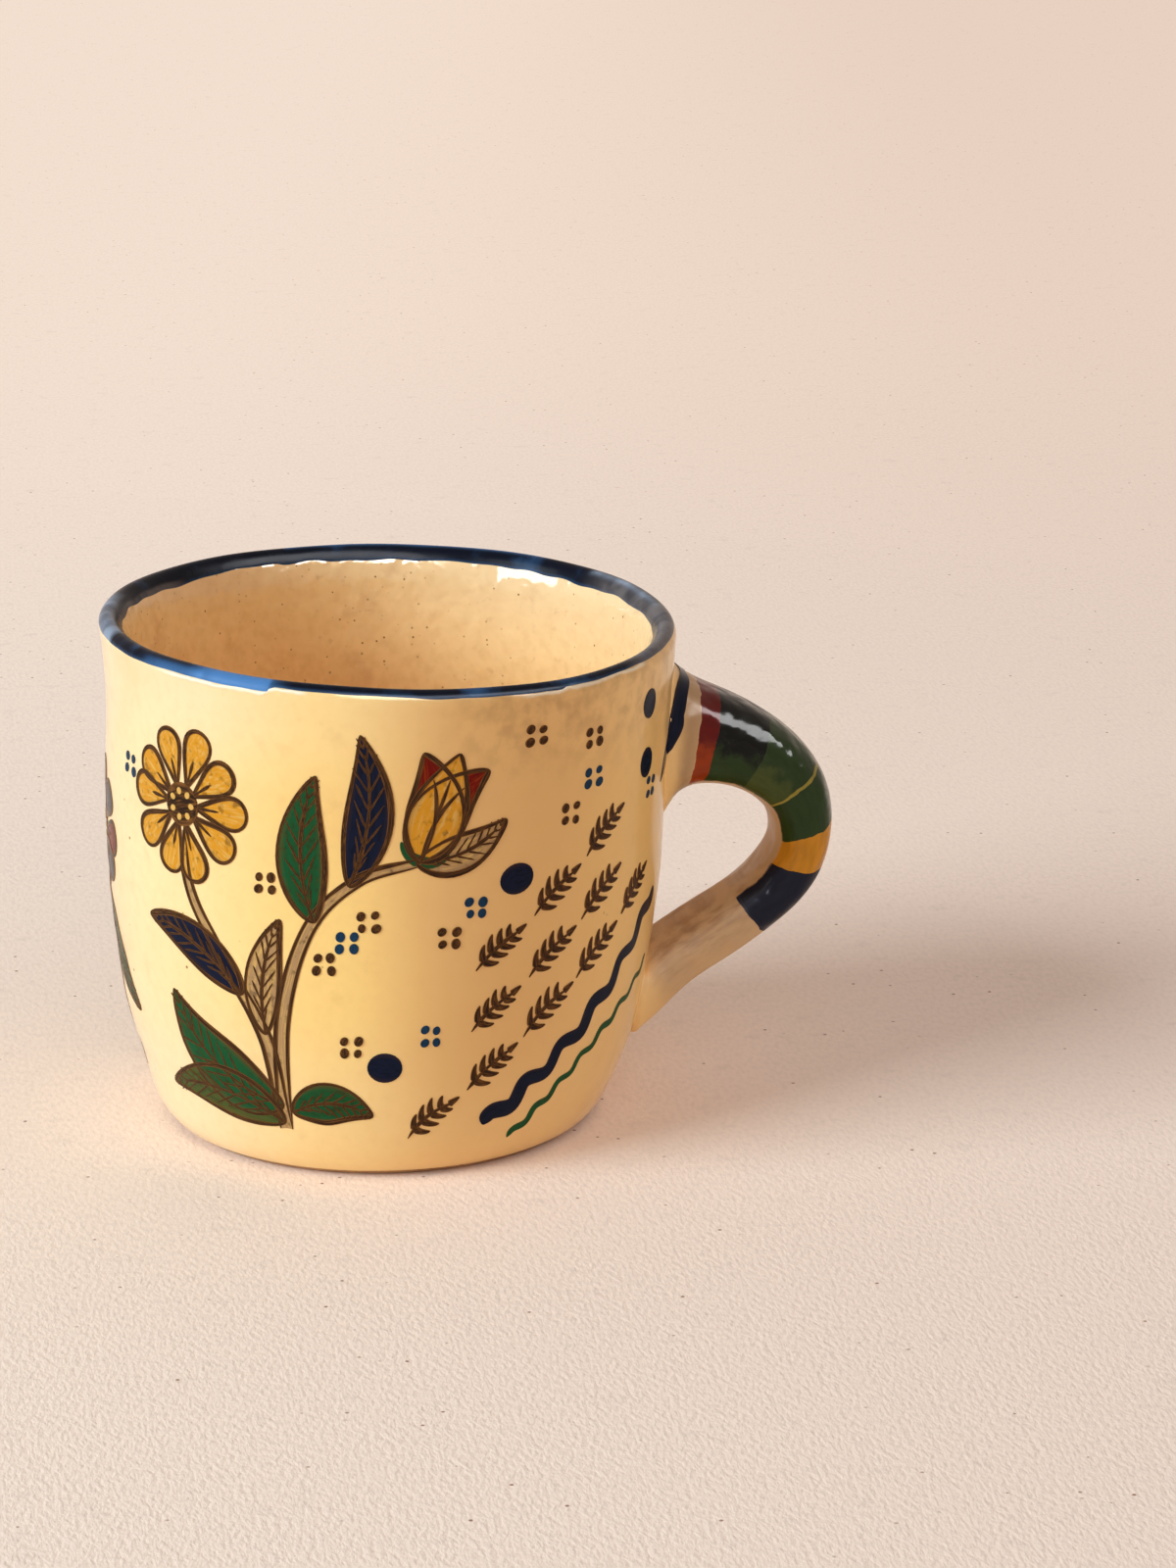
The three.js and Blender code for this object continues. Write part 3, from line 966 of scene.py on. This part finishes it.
class Painter:
    """Draws the ornament on the wall, on one side of the handle or mirrored on the other."""

    def __init__(self, cup):
        self.chance = random.Random(HAND)
        self.brushes = {name: Brush(cup, row[0]) for name, row in PAINTS.items()}
        self.side = 1

    def at(self, place):
        return spot(self.side * place[0], place[1])

    def route(self, course, steps):
        return through([self.at(place) for place in course], steps)

    def shaky(self, amount):
        return self.chance.uniform(-amount, amount)

    def line(self, path, half_width):
        """A brown brush line that swells a little and thins at both ends."""
        u = even(len(path))
        ends = np.clip(np.minimum(u, 1 - u) / 0.14, 0.12, 1) ** 0.6
        swell = 1 + 0.22 * np.sin(u * self.chance.uniform(5, 11) + self.shaky(3))
        self.brushes["brown"].lay(path, half_width * ends * swell)

    def dab(self, paint, middle, long, half_width, lean):
        """An oval touch of the brush."""
        u = eased(13)
        path = middle + np.outer((u - 0.5) * long, pointing(lean))
        swell = np.sqrt(np.maximum(1 - (2 * u - 1) ** 2, 0))
        self.brushes[paint].lay(path, half_width * swell, 5)

    def comma(self, paint, base, tip, half_width, bow):
        """A touch that starts round and runs out to a point."""
        u = eased(13)
        swell = np.sqrt(np.maximum(1 - u, 0)) * np.minimum(1, 3.2 * np.sqrt(u))
        self.brushes[paint].lay(self.bowed(base, tip, bow, u), half_width * swell, 5)

    def bowed(self, base, tip, bow, u):
        """A line that bows out to the left half-way."""
        middle = (base + tip) / 2 + 2 * bow * left(unit(tip - base))
        u = u[:, None]
        return (1 - u) ** 2 * base + 2 * u * (1 - u) * middle + u * u * tip

    def edges(self, path, swell, half_widths):
        """A line on each side of a leaf or a stem."""
        for sign, half_width in zip((1, -1), half_widths):
            self.line(path + sign * left_of(path) * swell[:, None], half_width)

    def blade(self, paint, path, swell, rib):
        """A filled leaf or petal with its outline and, for a share of its length, a rib."""
        self.brushes[paint].lay(path, swell, 9)
        self.edges(path, swell, LEAF_EDGES)
        self.line(path[: int(len(path) * rib)], LEAF_RIB)

    def leaf(self, paint, base, tip, half_width, bow):
        u = eased(27)
        path = self.bowed(self.at(base), self.at(tip), bow * MM * self.side, u)
        swell = half_width * MM * np.sin(math.pi * u**0.8) ** 0.9
        self.blade(paint, path, swell, 0.8)
        self.hatch(path, swell)

    def hatch(self, path, swell):
        """Short strokes from the rib of a leaf towards its edge."""
        side = left_of(path)
        for row in range(5, len(path) - 5, 2):
            forward = path[row + 3] - path[row]
            for sign in (1, -1):
                out = sign * side[row] * swell[row] * self.chance.uniform(0.55, 0.8)
                self.line(path[row] + np.outer(even(6), out + forward), HATCH_LINE)

    def petal(self, paint, middle, turn, start, reach, half_width):
        """A round-ended petal, outlined in one stroke."""
        u = eased(21)
        out = pointing(turn)
        path = middle + np.outer(mixed(start, reach, u), out)
        swell = half_width * np.sin(math.pi * u**1.25 * 0.5) * np.sqrt(np.maximum(1 - u**5, 0))
        self.brushes[paint].lay(path, swell, 9)
        edge = np.outer(swell, left(out))
        self.line(np.vstack([path + edge, (path - edge)[-2::-1]]), PETAL_EDGE)
        self.line(path[3:11], PETAL_RIB)

    def daisy(self, place, petals, reach, paints):
        """A round flower: petals in turn, a dark eye and a ring of dots on it."""
        middle = self.at(place)
        width = 0.92 * math.pi * reach / petals
        for count in range(petals):
            turn = 2 * math.pi * count / petals + self.shaky(0.06)
            long = reach * self.chance.uniform(0.92, 1.06)
            self.petal(paints[count % len(paints)], middle, turn, 0.2 * reach, long, width * 0.92)
        self.dab("brown", middle, 0.56 * reach, 0.28 * reach, 0.3)
        for count in range(7):
            turn = 2 * math.pi * count / 7
            dot = middle + 0.17 * reach * pointing(turn)
            self.dab("yolk", dot, 0.09 * reach, 0.04 * reach, turn)

    def tulip(self, place, height, half_width):
        """A bell of three petals that stands up from its stem."""
        base = self.at(place)
        lean = math.radians(72 if self.side > 0 else 108)
        up = pointing(lean)
        side = -left(up)
        u = eased(25)
        for paint, spread, bow in (("rust", 0.75, 0.3), ("rust", -0.75, -0.3), ("ochre", 0, 0)):
            tip = base + up * height * (0.92 if spread else 1.0) + side * half_width * spread
            path = self.bowed(base, tip, bow * half_width, u)
            swell = half_width * 0.62 * np.sin(math.pi * u**0.72) ** 0.85
            self.blade(paint, path, swell, 0.7)
        for sign in (1, -1):
            sepal = base + sign * side * 0.55 * half_width + up * 0.12 * height
            self.comma("green", base, sepal, 1.1 * MM, -0.6 * MM * sign)

    def dot_flower(self, paint, place):
        """Four dots in a square."""
        middle = self.at(place)
        for across in (-1, 1):
            for up in (-1, 1):
                offset = np.array([across * 1.05 + self.shaky(0.2), up + self.shaky(0.2)]) * MM
                size = self.chance.uniform(0.62, 0.8) * MM
                self.dab(paint, middle + offset, 2.2 * size, 0.95 * size, self.shaky(0.5) + 1.1)

    def wave(self, paint, course, half_width, swing, wavelength):
        """A wavy line that runs up round the wall."""
        line = self.route(course, 130)
        run = run_along(line)
        beat = np.sin(2 * math.pi * run / wavelength + 0.5 * np.sin(run / (9 * MM)))
        path = line + left_of(line) * (swing * beat)[:, None]
        u = even(len(path))
        ends = np.sqrt(np.clip(np.minimum(u, 1 - u) / 0.02, 0.02, 1))
        swell = mixed(1.12, 0.86, u) * (1 + 0.1 * np.sin(run / (3.3 * MM)))
        self.brushes[paint].lay(path, half_width * ends * swell, 5)

    def sprig(self, middle, course, size):
        """A small brown sprig with paired leaves."""
        side = left(course)
        start = middle - 0.5 * size * course
        bend = self.chance.uniform(0.05, 0.11) * size
        stem = self.bowed(start, start + size * course, bend, even(16))
        self.line(stem, SPRIG_STEM)
        for row, reach in ((3, 0.26), (6, 0.27), (9, 0.25), (12, 0.2)):
            for sign in (1, -1):
                way = 0.75 * course + sign * side * self.chance.uniform(0.8, 1.0)
                self.comma("brown", stem[row], stem[row] + way * reach * size, 0.68 * MM, 0.3 * sign * MM)
        self.comma("brown", stem[-2], stem[-1] + 0.16 * size * course, 0.66 * MM, 0)

    def sprigs(self):
        """Rows of sprigs that climb beside the waves, with room left for the dots."""
        start, end = self.at(NAVY_WAVE[0]), self.at(NAVY_WAVE[-1])
        course = unit(end - start)
        above = left(course) * self.side
        kept = [self.at(place) for place in (*BROWN_FLOWERS, *BLUE_FLOWERS, *OVALS)]
        for row in range(4):
            for step in range(-1, 5):
                forward = SPRIG_START + SPRIG_SPACING * step + SPRIG_SHIFT * (row % 2)
                middle = start + course * forward + above * (ROW_START + ROW_SPACING * row)
                degrees = abs(math.degrees(middle[0] / SHEET_RADIUS))
                spine = middle + np.outer(np.linspace(-5, 6.5, 6) * MM, course)
                nearest = min(np.linalg.norm(spine - place, axis=1).min() for place in kept)
                inside = within(degrees, SPRIG_ANGLES) and within(middle[1], SPRIG_HEIGHTS)
                if inside and nearest > SPRIG_ROOM:
                    self.sprig(middle, course, self.chance.uniform(9.0, 10.4) * MM)

    def spray(self):
        """Two stems that part at the foot, with their leaves, a daisy and a tulip."""
        for course in SPRAY_STEMS:
            path = self.route(course, 60)
            half_width = mixed(1.15, 0.6, even(len(path))) * MM
            self.brushes["taupe"].lay(path, half_width, 5)
            self.edges(path, half_width, STEM_EDGES)
        for paint, base, tip, half_width, bow in SPRAY_LEAVES:
            self.leaf(paint, base, tip, half_width, bow)
        self.daisy(DAISY, petals=10, reach=12 * MM, paints=("ochre",))
        self.tulip(TULIP, height=18 * MM, half_width=7 * MM)

    def paint_side(self, side):
        self.side = side
        self.wave("navy", NAVY_WAVE, half_width=1.25 * MM, swing=0.95 * MM, wavelength=8.2 * MM)
        self.wave("green", GREEN_WAVE, half_width=0.58 * MM, swing=0.5 * MM, wavelength=5.6 * MM)
        self.spray()
        for place in BROWN_FLOWERS:
            self.dot_flower("brown", place)
        for place in BLUE_FLOWERS:
            self.dot_flower("blue", place)
        for place in OVALS:
            self.dab("navy", self.at(place), place[2] * MM, 2.5 * MM, self.shaky(0.4))
        self.sprigs()

    def paint_far_end(self):
        """One flower opposite the handle, where the two sides meet."""
        self.side = 1
        degrees, height = FAR_DAISY
        for sign in (1, -1):
            self.leaf("green", (degrees, height - 10), (degrees + sign * 19, height - 26), 3.4, -1.5 * sign)
        stalk = ((degrees, height - 8), (degrees + 1, height - 24), (degrees, height - 40))
        self.line(self.route(stalk, 24), FAR_STALK)
        self.daisy(FAR_DAISY, petals=8, reach=10 * MM, paints=("rust", "navy"))


# Operators


def new_cup():
    return Cup(bpy.context.scene.teacup_cup)


# How far the lip band stands above the glaze, how thick its edges are and how far it is sunk
BAND_LIFT = 0.07 * MM
BAND_EDGE = 0.005 * MM
BAND_SINK = 0.3 * MM


def wavering(angle):
    """Uneven edge of the brushwork, from about -1 to 1."""
    wander = 0.5 * np.sin(3 * angle + 0.6) + 0.35 * np.sin(7 * angle + 1.9)
    return wander + 0.25 * np.sin(16 * angle + 0.5) * np.sin(2 * angle) + 0.12 * np.sin(41 * angle)


def brushed(angle, start, end):
    """One stroke of the brush, between degrees from the handle: it begins softly and ends short."""
    turn = np.degrees(angle) % 360
    return smoothstep(turn, start - 3, start + 6) * (1 - smoothstep(turn, end - 0.5, end + 1))


def band_outer(sizes, angle):
    """How far the lip band comes down outside, round the cup."""
    strokes = 0.85 * brushed(angle, 165, 241) + 0.4 * brushed(angle, 268, 300)
    return sizes.band_outside + (0.2 * wavering(angle) + strokes) * MM


def band_inner(sizes, angle):
    """How far it comes down inside, with a finely notched edge."""
    notched = 0.15 * np.sin(29 * angle) * np.sin(6 * angle)
    strokes = 0.2 * brushed(angle, 50, 110)
    return sizes.band_inside + (0.4 * wavering(angle + 2) + strokes + notched) * MM


def band_wear(angle, side):
    """Where the band is thin or worn, and where reflections are painted on it: round the cup, and across it
    from -1 outside to 1 inside.
    """
    outer = 1 - smoothstep(side, 0, 0.4)
    edge = 1 - smoothstep(side, -0.75, -0.2)
    strip = smoothstep(side, 0.5, 0.75)
    crest = np.exp(-(((side + 0.42) / 0.22) ** 2))
    slope = np.exp(-(((side + 0.15) / 0.25) ** 2))
    handleward = smoothstep(np.cos(angle + 0.05), math.cos(math.radians(40)), math.cos(math.radians(29)))
    # The second share, along the crest at the back, is a painted reflection of the bright room
    thin = 0.5 * brushed(angle, 210, 226) * edge + 0.6 * brushed(angle, 48, 108) * crest
    return {
        "washed": brushed(angle, 224, 241) + thin,
        "worn": 0.8 * handleward + 0.7 * brushed(angle, 138, 208) * strip,
        # Painted sheen: reflections on the outer edge at the left end and on the slope at the right end
        "misty": 0.8 * brushed(angle, 163, 194) * outer + 0.9 * brushed(angle, 5, 34) * slope,
    }


class TEACUP_OT_clay_body(bpy.types.Operator):
    """Turn the clay body, which shows at the bare foot"""

    bl_idname = "teacup.clay_body"
    bl_label = "Clay body"

    def execute(self, context):
        cup = new_cup()
        s = cup.sizes
        bare = cup.reach_at(s.bare_foot)
        foot, middle = cup.reach[[0, -1]]
        lip = ((-LIP_ZONE, LIP_ROWS), (LIP_ZONE, WALL_ROWS))
        reach = runs((foot, FOOT_ROWS), (bare, WALL_ROWS), *lip, middle)
        skinned = cup.section_at(reach, s.glaze * smoothstep(reach, foot, bare))
        under = np.linspace((0, 0), (s.foot_radius, 0), FOOT_ROWS)
        points, faces = turned_solid(cup, np.vstack([under[:-1], skinned]))
        publish("clay_body", points, faces, clay_finish(), ("cup_body",))
        return {"FINISHED"}


class TEACUP_OT_outer_glaze(bpy.types.Operator):
    """Dip the outside wall in cream glaze, up to the crest of the lip"""

    bl_idname = "teacup.outer_glaze"
    bl_label = "Outer glaze"

    def execute(self, context):
        cup = new_cup()
        s = cup.sizes
        bare = cup.reach_at(s.bare_foot)
        face = runs((bare, WALL_ROWS), (-LIP_ZONE, LIP_ROWS), 0)
        behind = runs((0, LIP_ROWS), (-LIP_ZONE, BACK_ROWS), bare)
        profile = np.vstack([cup.section_at(face), cup.section_at(behind, s.glaze - s.fit)])
        points, faces = turned_ring(cup, profile)
        angle = all_round(TURNS)
        rows = np.concatenate([face, behind])
        # Where the bead below the band is raised and painted with a highlight
        bead = brushed(angle, 214, 248) + 0.8 * brushed(angle, 290, 325) + 0.3 * brushed(angle, 20, 160)
        values = {
            "below": ((-rows[:, None] - band_outer(s, angle)) / MM).ravel(),
            "bead": np.tile(bead, len(rows)),
        }
        publish("outer_glaze_coat", points, faces, cream_finish(), ("outer_glaze",), values)
        return {"FINISHED"}


class TEACUP_OT_liner_glaze(bpy.types.Operator):
    """Pour the amber liner over the inside, up to the crest of the lip"""

    bl_idname = "teacup.liner_glaze"
    bl_label = "Liner glaze"

    def execute(self, context):
        cup = new_cup()
        s = cup.sizes
        face = runs((0, 2 * LIP_ROWS), (2 * LIP_ZONE, WALL_ROWS), cup.reach[-1])
        behind = runs((cup.reach[-1], BACK_ROWS), (2 * LIP_ZONE, LIP_ROWS), 0)
        profile = np.vstack([cup.section_at(behind, s.glaze - s.fit), cup.section_at(face)])
        points, faces = turned_solid(cup, profile)
        publish("liner_glaze_coat", points, faces, liner_finish(), ("liner_glaze",))
        return {"FINISHED"}


class TEACUP_OT_lip_band(bpy.types.Operator):
    """Brush the blue band over the lip, with the uneven edges of a hand-held brush"""

    bl_idname = "teacup.lip_band"
    bl_label = "Lip band"

    def execute(self, context):
        cup = new_cup()
        s = cup.sizes
        angle = all_round(2 * TURNS)
        u = even(2 * LIP_ROWS)
        reach = mixed(-band_outer(s, angle), band_inner(s, angle), u[:, None])
        lift = BAND_LIFT * np.sin(math.pi * u) ** 0.3 + BAND_EDGE
        face = cup.section_at(reach, -lift[:, None])
        behind = cup.section_at(reach, BAND_SINK)[::-1]
        rows = np.concatenate([face, behind])
        points = cup.turned(rows[..., 0], angle, rows[..., 1])
        faces = ring_faces(len(rows), len(angle), True)
        across = 2 * np.concatenate([u, u[::-1]]) - 1
        values = {label: wear.ravel() for label, wear in band_wear(angle, across[:, None]).items()}
        values["across"] = np.repeat(across, len(angle))
        points = points.reshape(-1, 3)
        publish("lip_band", points, faces, band_finish(), ("rim_band",), values)
        return {"FINISHED"}


class TEACUP_OT_handle(bpy.types.Operator):
    """Loft the pulled handle with its smeared roots and painted bands"""

    bl_idname = "teacup.handle"
    bl_label = "Handle"

    def execute(self, context):
        cup = new_cup()
        strap = Strap(cup, context.scene.teacup_handle)
        sunk = 2 * strap.sizes.flare_sink
        spread = (even(STRAP_RINGS) + eased(STRAP_RINGS)) / 2
        distance = mixed(-sunk, strap.length + sunk, spread)[:, None]
        turn = all_round(STRAP_SIDES)
        turn = turn + 0.12 * np.sin(4 * turn)
        points = strap.surface(distance, turn).reshape(-1, 3)
        faces = [face[::-1] for face in ring_faces(STRAP_RINGS, STRAP_SIDES, False)]
        faces.append(tuple(range(STRAP_SIDES)))
        last = (STRAP_RINGS - 1) * STRAP_SIDES
        faces.append(tuple(last + side for side in reversed(range(STRAP_SIDES))))
        values = {
            "along": np.repeat(distance[:, 0] / MM, STRAP_SIDES),
            "inner": np.tile(-np.sin(turn), STRAP_RINGS),
        }
        solids = ("handle", "upper_slip_joint", "lower_slip_joint")
        publish("glazed_handle", points, faces, handle_finish(strap), solids, values)
        return {"FINISHED"}


# A stroke laid in the crease where the handle joins: set points on the joint, and the way it is pressed on
JOINT_STROKE = (
    (48.5, 0.5, 70.0),
    (47.3, -6.6, 68.8),
    (46.2, -9.6, 66.0),
    (45.6, -11.2, 63.0),
    (42.8, -16.8, 56.8),
)
JOINT_PRESS = (-0.62, 0.72, -0.3)

# How far off that way starts, how high the stroke stands, and its half widths in its middle and at its ends
JOINT_RUN_UP = 20 * MM
JOINT_LIFT = 0.09 * MM
JOINT_WIDTH = 1.4 * MM
JOINT_FINEST = 0.05 * MM


class TEACUP_OT_ornament(bpy.types.Operator):
    """Paint the sprays, sprigs, dots and waves on the wall, and the strokes at the joint"""

    bl_idname = "teacup.ornament"
    bl_label = "Ornament"

    def execute(self, context):
        cup = new_cup()
        painter = Painter(cup)
        painter.paint_side(1)
        painter.paint_side(-1)
        painter.paint_far_end()
        self.joint_strokes(painter.brushes["navy"])
        for name, (_, body, thin, feather, grain, slot) in PAINTS.items():
            finish = brush_finish(f"{name}_paint", body, thin, feather, grain)
            painter.brushes[name].make(f"{name}_brushwork", finish, slot)
        return {"FINISHED"}

    def joint_strokes(self, brush):
        """Presses a tapered stroke on to the wall and the handle, on both sides."""
        ground = self.ground("outer_glaze_coat", "glazed_handle")
        for side in (1, -1):
            mirror = np.array([1, side, 1])
            path = through(np.array(JOINT_STROKE) * MM * mirror, 40)
            press = unit(np.array(JOINT_PRESS) * mirror)
            across = unit(np.cross(press, np.gradient(path, axis=0)))
            u = even(len(path))
            taper = np.sin(math.pi * (0.08 + 0.92 * u**1.1)) ** 0.7
            fuller = mixed(1, 1.5, smoothstep(u, 0.5, 0.85))
            half_width = np.maximum(JOINT_WIDTH * taper * fuller, JOINT_FINEST)
            columns = np.linspace(-1, 1, 5)
            spread = path[:, None] + across[:, None] * (half_width[:, None] * columns)[..., None]
            top, bottom = self.pressed(ground, spread, press)
            brush.add(top, bottom, columns)

    def ground(self, *names):
        """The surface of some pieces, to press on."""
        points, faces = [], []
        for name in names:
            mesh = bpy.data.objects[name].data
            start = len(points)
            points += [vertex.co.copy() for vertex in mesh.vertices]
            faces += [[start + index for index in face.vertices] for face in mesh.polygons]
        return BVHTree.FromPolygons(points, faces)

    def pressed(self, ground, spread, press):
        """The top and the bottom of a stroke where it meets the surface."""
        top, bottom = np.empty_like(spread), np.empty_like(spread)
        way = Vector(press)
        for place in np.ndindex(spread.shape[:2]):
            hit, normal, _, _ = ground.ray_cast(Vector(spread[place]) - way * JOINT_RUN_UP, way)
            if hit is None:
                raise RuntimeError("a joint stroke misses the cup")
            top[place] = hit + normal * JOINT_LIFT
            bottom[place] = hit - normal * PAINT_SINK
        return top, bottom


# Daylight from the window and the warmer light of the room, which are white together
COOL = (0.8, 0.93, 1.0)
WARM = (1.0, 0.87, 0.79)
WHITE = (1.0, 1.0, 1.0)

# Lamps, whose powers are in the settings: colour, width and height, place and the rays that don't meet it
LAMPS = {
    "window": (COOL, (6.4, 6.6), (-10.05, -3.66, 5.45), None),
    "fill": (WARM, (3.0, 2.0), (0.63, -3.57, 1.69), "visible_glossy"),
    "strip": (WHITE, (5.0, 1.3), (1.0, -1.85, 2.1), "visible_diffuse"),
}
LAMP_AIM = Vector((0, 0, 40 * MM))
FLOOR_REACH = 6.0

# Shade of the cloth's threads, and how brightly the camera sees the far cloth
THREAD = (0.4, 0.3, 0.25)
FAR_CLOTH = 0.93


class TEACUP_OT_stage(bpy.types.Operator):
    """Set the floor, the room, the lamps and the camera"""

    bl_idname = "teacup.stage"
    bl_label = "Stage"

    def execute(self, context):
        scene = context.scene
        stage = scene.teacup_stage
        scene.view_settings.view_transform = "Standard"
        self.floor(scene, stage)
        self.world(scene, stage)
        for name, row in LAMPS.items():
            self.lamp(scene, name, getattr(stage, name), *row)
        self.camera(scene, stage)
        return {"FINISHED"}

    def floor(self, scene, stage):
        corners = ((-1, -1), (1, -1), (1, 1), (-1, 1))
        mesh = bpy.data.meshes.new("studio_floor")
        mesh.from_pydata([(x * FLOOR_REACH, y * FLOOR_REACH, 0) for x, y in corners], [], [(0, 1, 2, 3)])
        mesh.materials.append(self.cloth(stage))
        floor = bpy.data.objects.new("studio_floor", mesh)
        scene.collection.objects.link(floor)

    def cloth(self, stage):
        """A woven cloth with painted light falloff: paler towards the window. Far behind the cup the camera
        sees its plain colour.
        """
        graph = new_material("pale_cloth")
        right = graph.axis("X")
        behind = graph.axis("Y")
        front = 1 - behind.step(-0.13, 0.05)
        threads = graph.add("ShaderNodeCombineXYZ", inputs={"X": right, "Y": behind * 0.5, "Z": 0.0})
        weave = graph.noise(0.8 * MM, 3, threads)
        slubs = graph.noise(4.5 * MM, 4).step(0.56, 0.76)
        # Painted light falloff across the cloth, from the window's side to the far side
        shade = graph.mix((right - behind * 0.15).step(-0.12, 0.2), stage.floor, stage.floor_right)
        shade = graph.mix(weave.step(0.35, 0.75) * 0.12 + slubs * 0.1, shade, THREAD)
        shade = graph.specks(shade, 3.2 * MM, 0.4 * MM, 0.35)
        raised = weave * (0.3 + front * 0.7)
        varied = {"Base Color": shade, "Normal": graph.bump(raised, 0.3 * MM)}
        lit = graph.add("ShaderNodeBsdfPrincipled", inputs={**varied, "Roughness": 0.9})
        plain = graph.add("ShaderNodeEmission", inputs={"Color": shade, "Strength": FAR_CLOTH})
        seen = graph.seen() * behind.step(0.1, 0.7)
        shader = graph.add("ShaderNodeMixShader", inputs={0: seen, 1: lit, 2: plain})
        graph.add("ShaderNodeOutputMaterial", inputs={"Surface": shader})
        return graph.owner

    def world(self, scene, stage):
        """A room that is dim on the camera's side. Past the floor the camera sees one plain colour."""
        scene.world = bpy.data.worlds.new("studio")
        graph = Graph(scene.world)
        way = graph.add("ShaderNodeTexCoord", output="Generated")
        right = graph.axis("X", way)
        behind = graph.axis("Y", way)

        def light(shade, strength):
            return graph.add("ShaderNodeBackground", inputs={"Color": (*shade, 1), "Strength": strength})

        def blend(part, first, second):
            return graph.add("ShaderNodeMixShader", inputs={0: part, 1: first, 2: second})

        lit = (right * 0.5 + behind * 0.87).step(-0.5, 0.6)
        room = blend(lit, light(WARM, stage.sky_ahead), light(WARM, stage.sky_behind))
        shown = blend(graph.seen(), room, light(stage.backdrop, 1.0))
        graph.add("ShaderNodeOutputWorld", inputs={"Surface": shown})

    def lamp(self, scene, name, power, shade, size, place, hidden):
        data = bpy.data.lights.new(name, "AREA")
        data.color = shade
        data.shape = "RECTANGLE"
        data.size, data.size_y = size
        data.energy = power
        lamp = bpy.data.objects.new(name, data)
        lamp.location = place
        lamp.rotation_euler = (LAMP_AIM - lamp.location).to_track_quat("-Z", "Y").to_euler()
        if hidden:
            setattr(lamp, hidden, False)
        scene.collection.objects.link(lamp)

    def camera(self, scene, stage):
        data = bpy.data.cameras.new("camera")
        data.lens = stage.lens
        camera = bpy.data.objects.new("camera", data)
        camera.location = stage.eye
        camera.rotation_euler = (math.pi / 2 - stage.pitch, 0, stage.heading)
        scene.collection.objects.link(camera)
        scene.camera = camera


STEPS = (
    TEACUP_OT_clay_body,
    TEACUP_OT_outer_glaze,
    TEACUP_OT_liner_glaze,
    TEACUP_OT_lip_band,
    TEACUP_OT_handle,
    TEACUP_OT_ornament,
    TEACUP_OT_stage,
)


class TEACUP_PT_panel(bpy.types.Panel):
    """The cup's sizes, its colours and its steps"""

    bl_idname = "TEACUP_PT_panel"
    bl_label = "Teacup"
    bl_space_type = "VIEW_3D"
    bl_region_type = "UI"
    bl_category = "Teacup"

    def draw(self, context):
        layout = self.layout
        for name, kind in GROUPS.items():
            box = layout.box()
            for label in kind.__annotations__:
                box.prop(getattr(context.scene, name), label)
        for step in STEPS:
            layout.operator(step.bl_idname)


GROUPS = {
    "teacup_cup": CupSizes,
    "teacup_handle": HandleSizes,
    "teacup_colours": PaintColours,
    "teacup_stage": StageSettings,
}


def register():
    for kind in (*GROUPS.values(), *STEPS, TEACUP_PT_panel):
        bpy.utils.register_class(kind)
    for name, kind in GROUPS.items():
        setattr(bpy.types.Scene, name, PointerProperty(type=kind))


def unregister():
    for name in GROUPS:
        delattr(bpy.types.Scene, name)
    for kind in (TEACUP_PT_panel, *reversed(STEPS), *GROUPS.values()):
        bpy.utils.unregister_class(kind)


def main():
    register()
    bpy.ops.teacup.clay_body()
    bpy.ops.teacup.outer_glaze()
    bpy.ops.teacup.liner_glaze()
    bpy.ops.teacup.lip_band()
    bpy.ops.teacup.handle()
    bpy.ops.teacup.ornament()
    bpy.ops.teacup.stage()


if __name__ == "__main__":
    main()
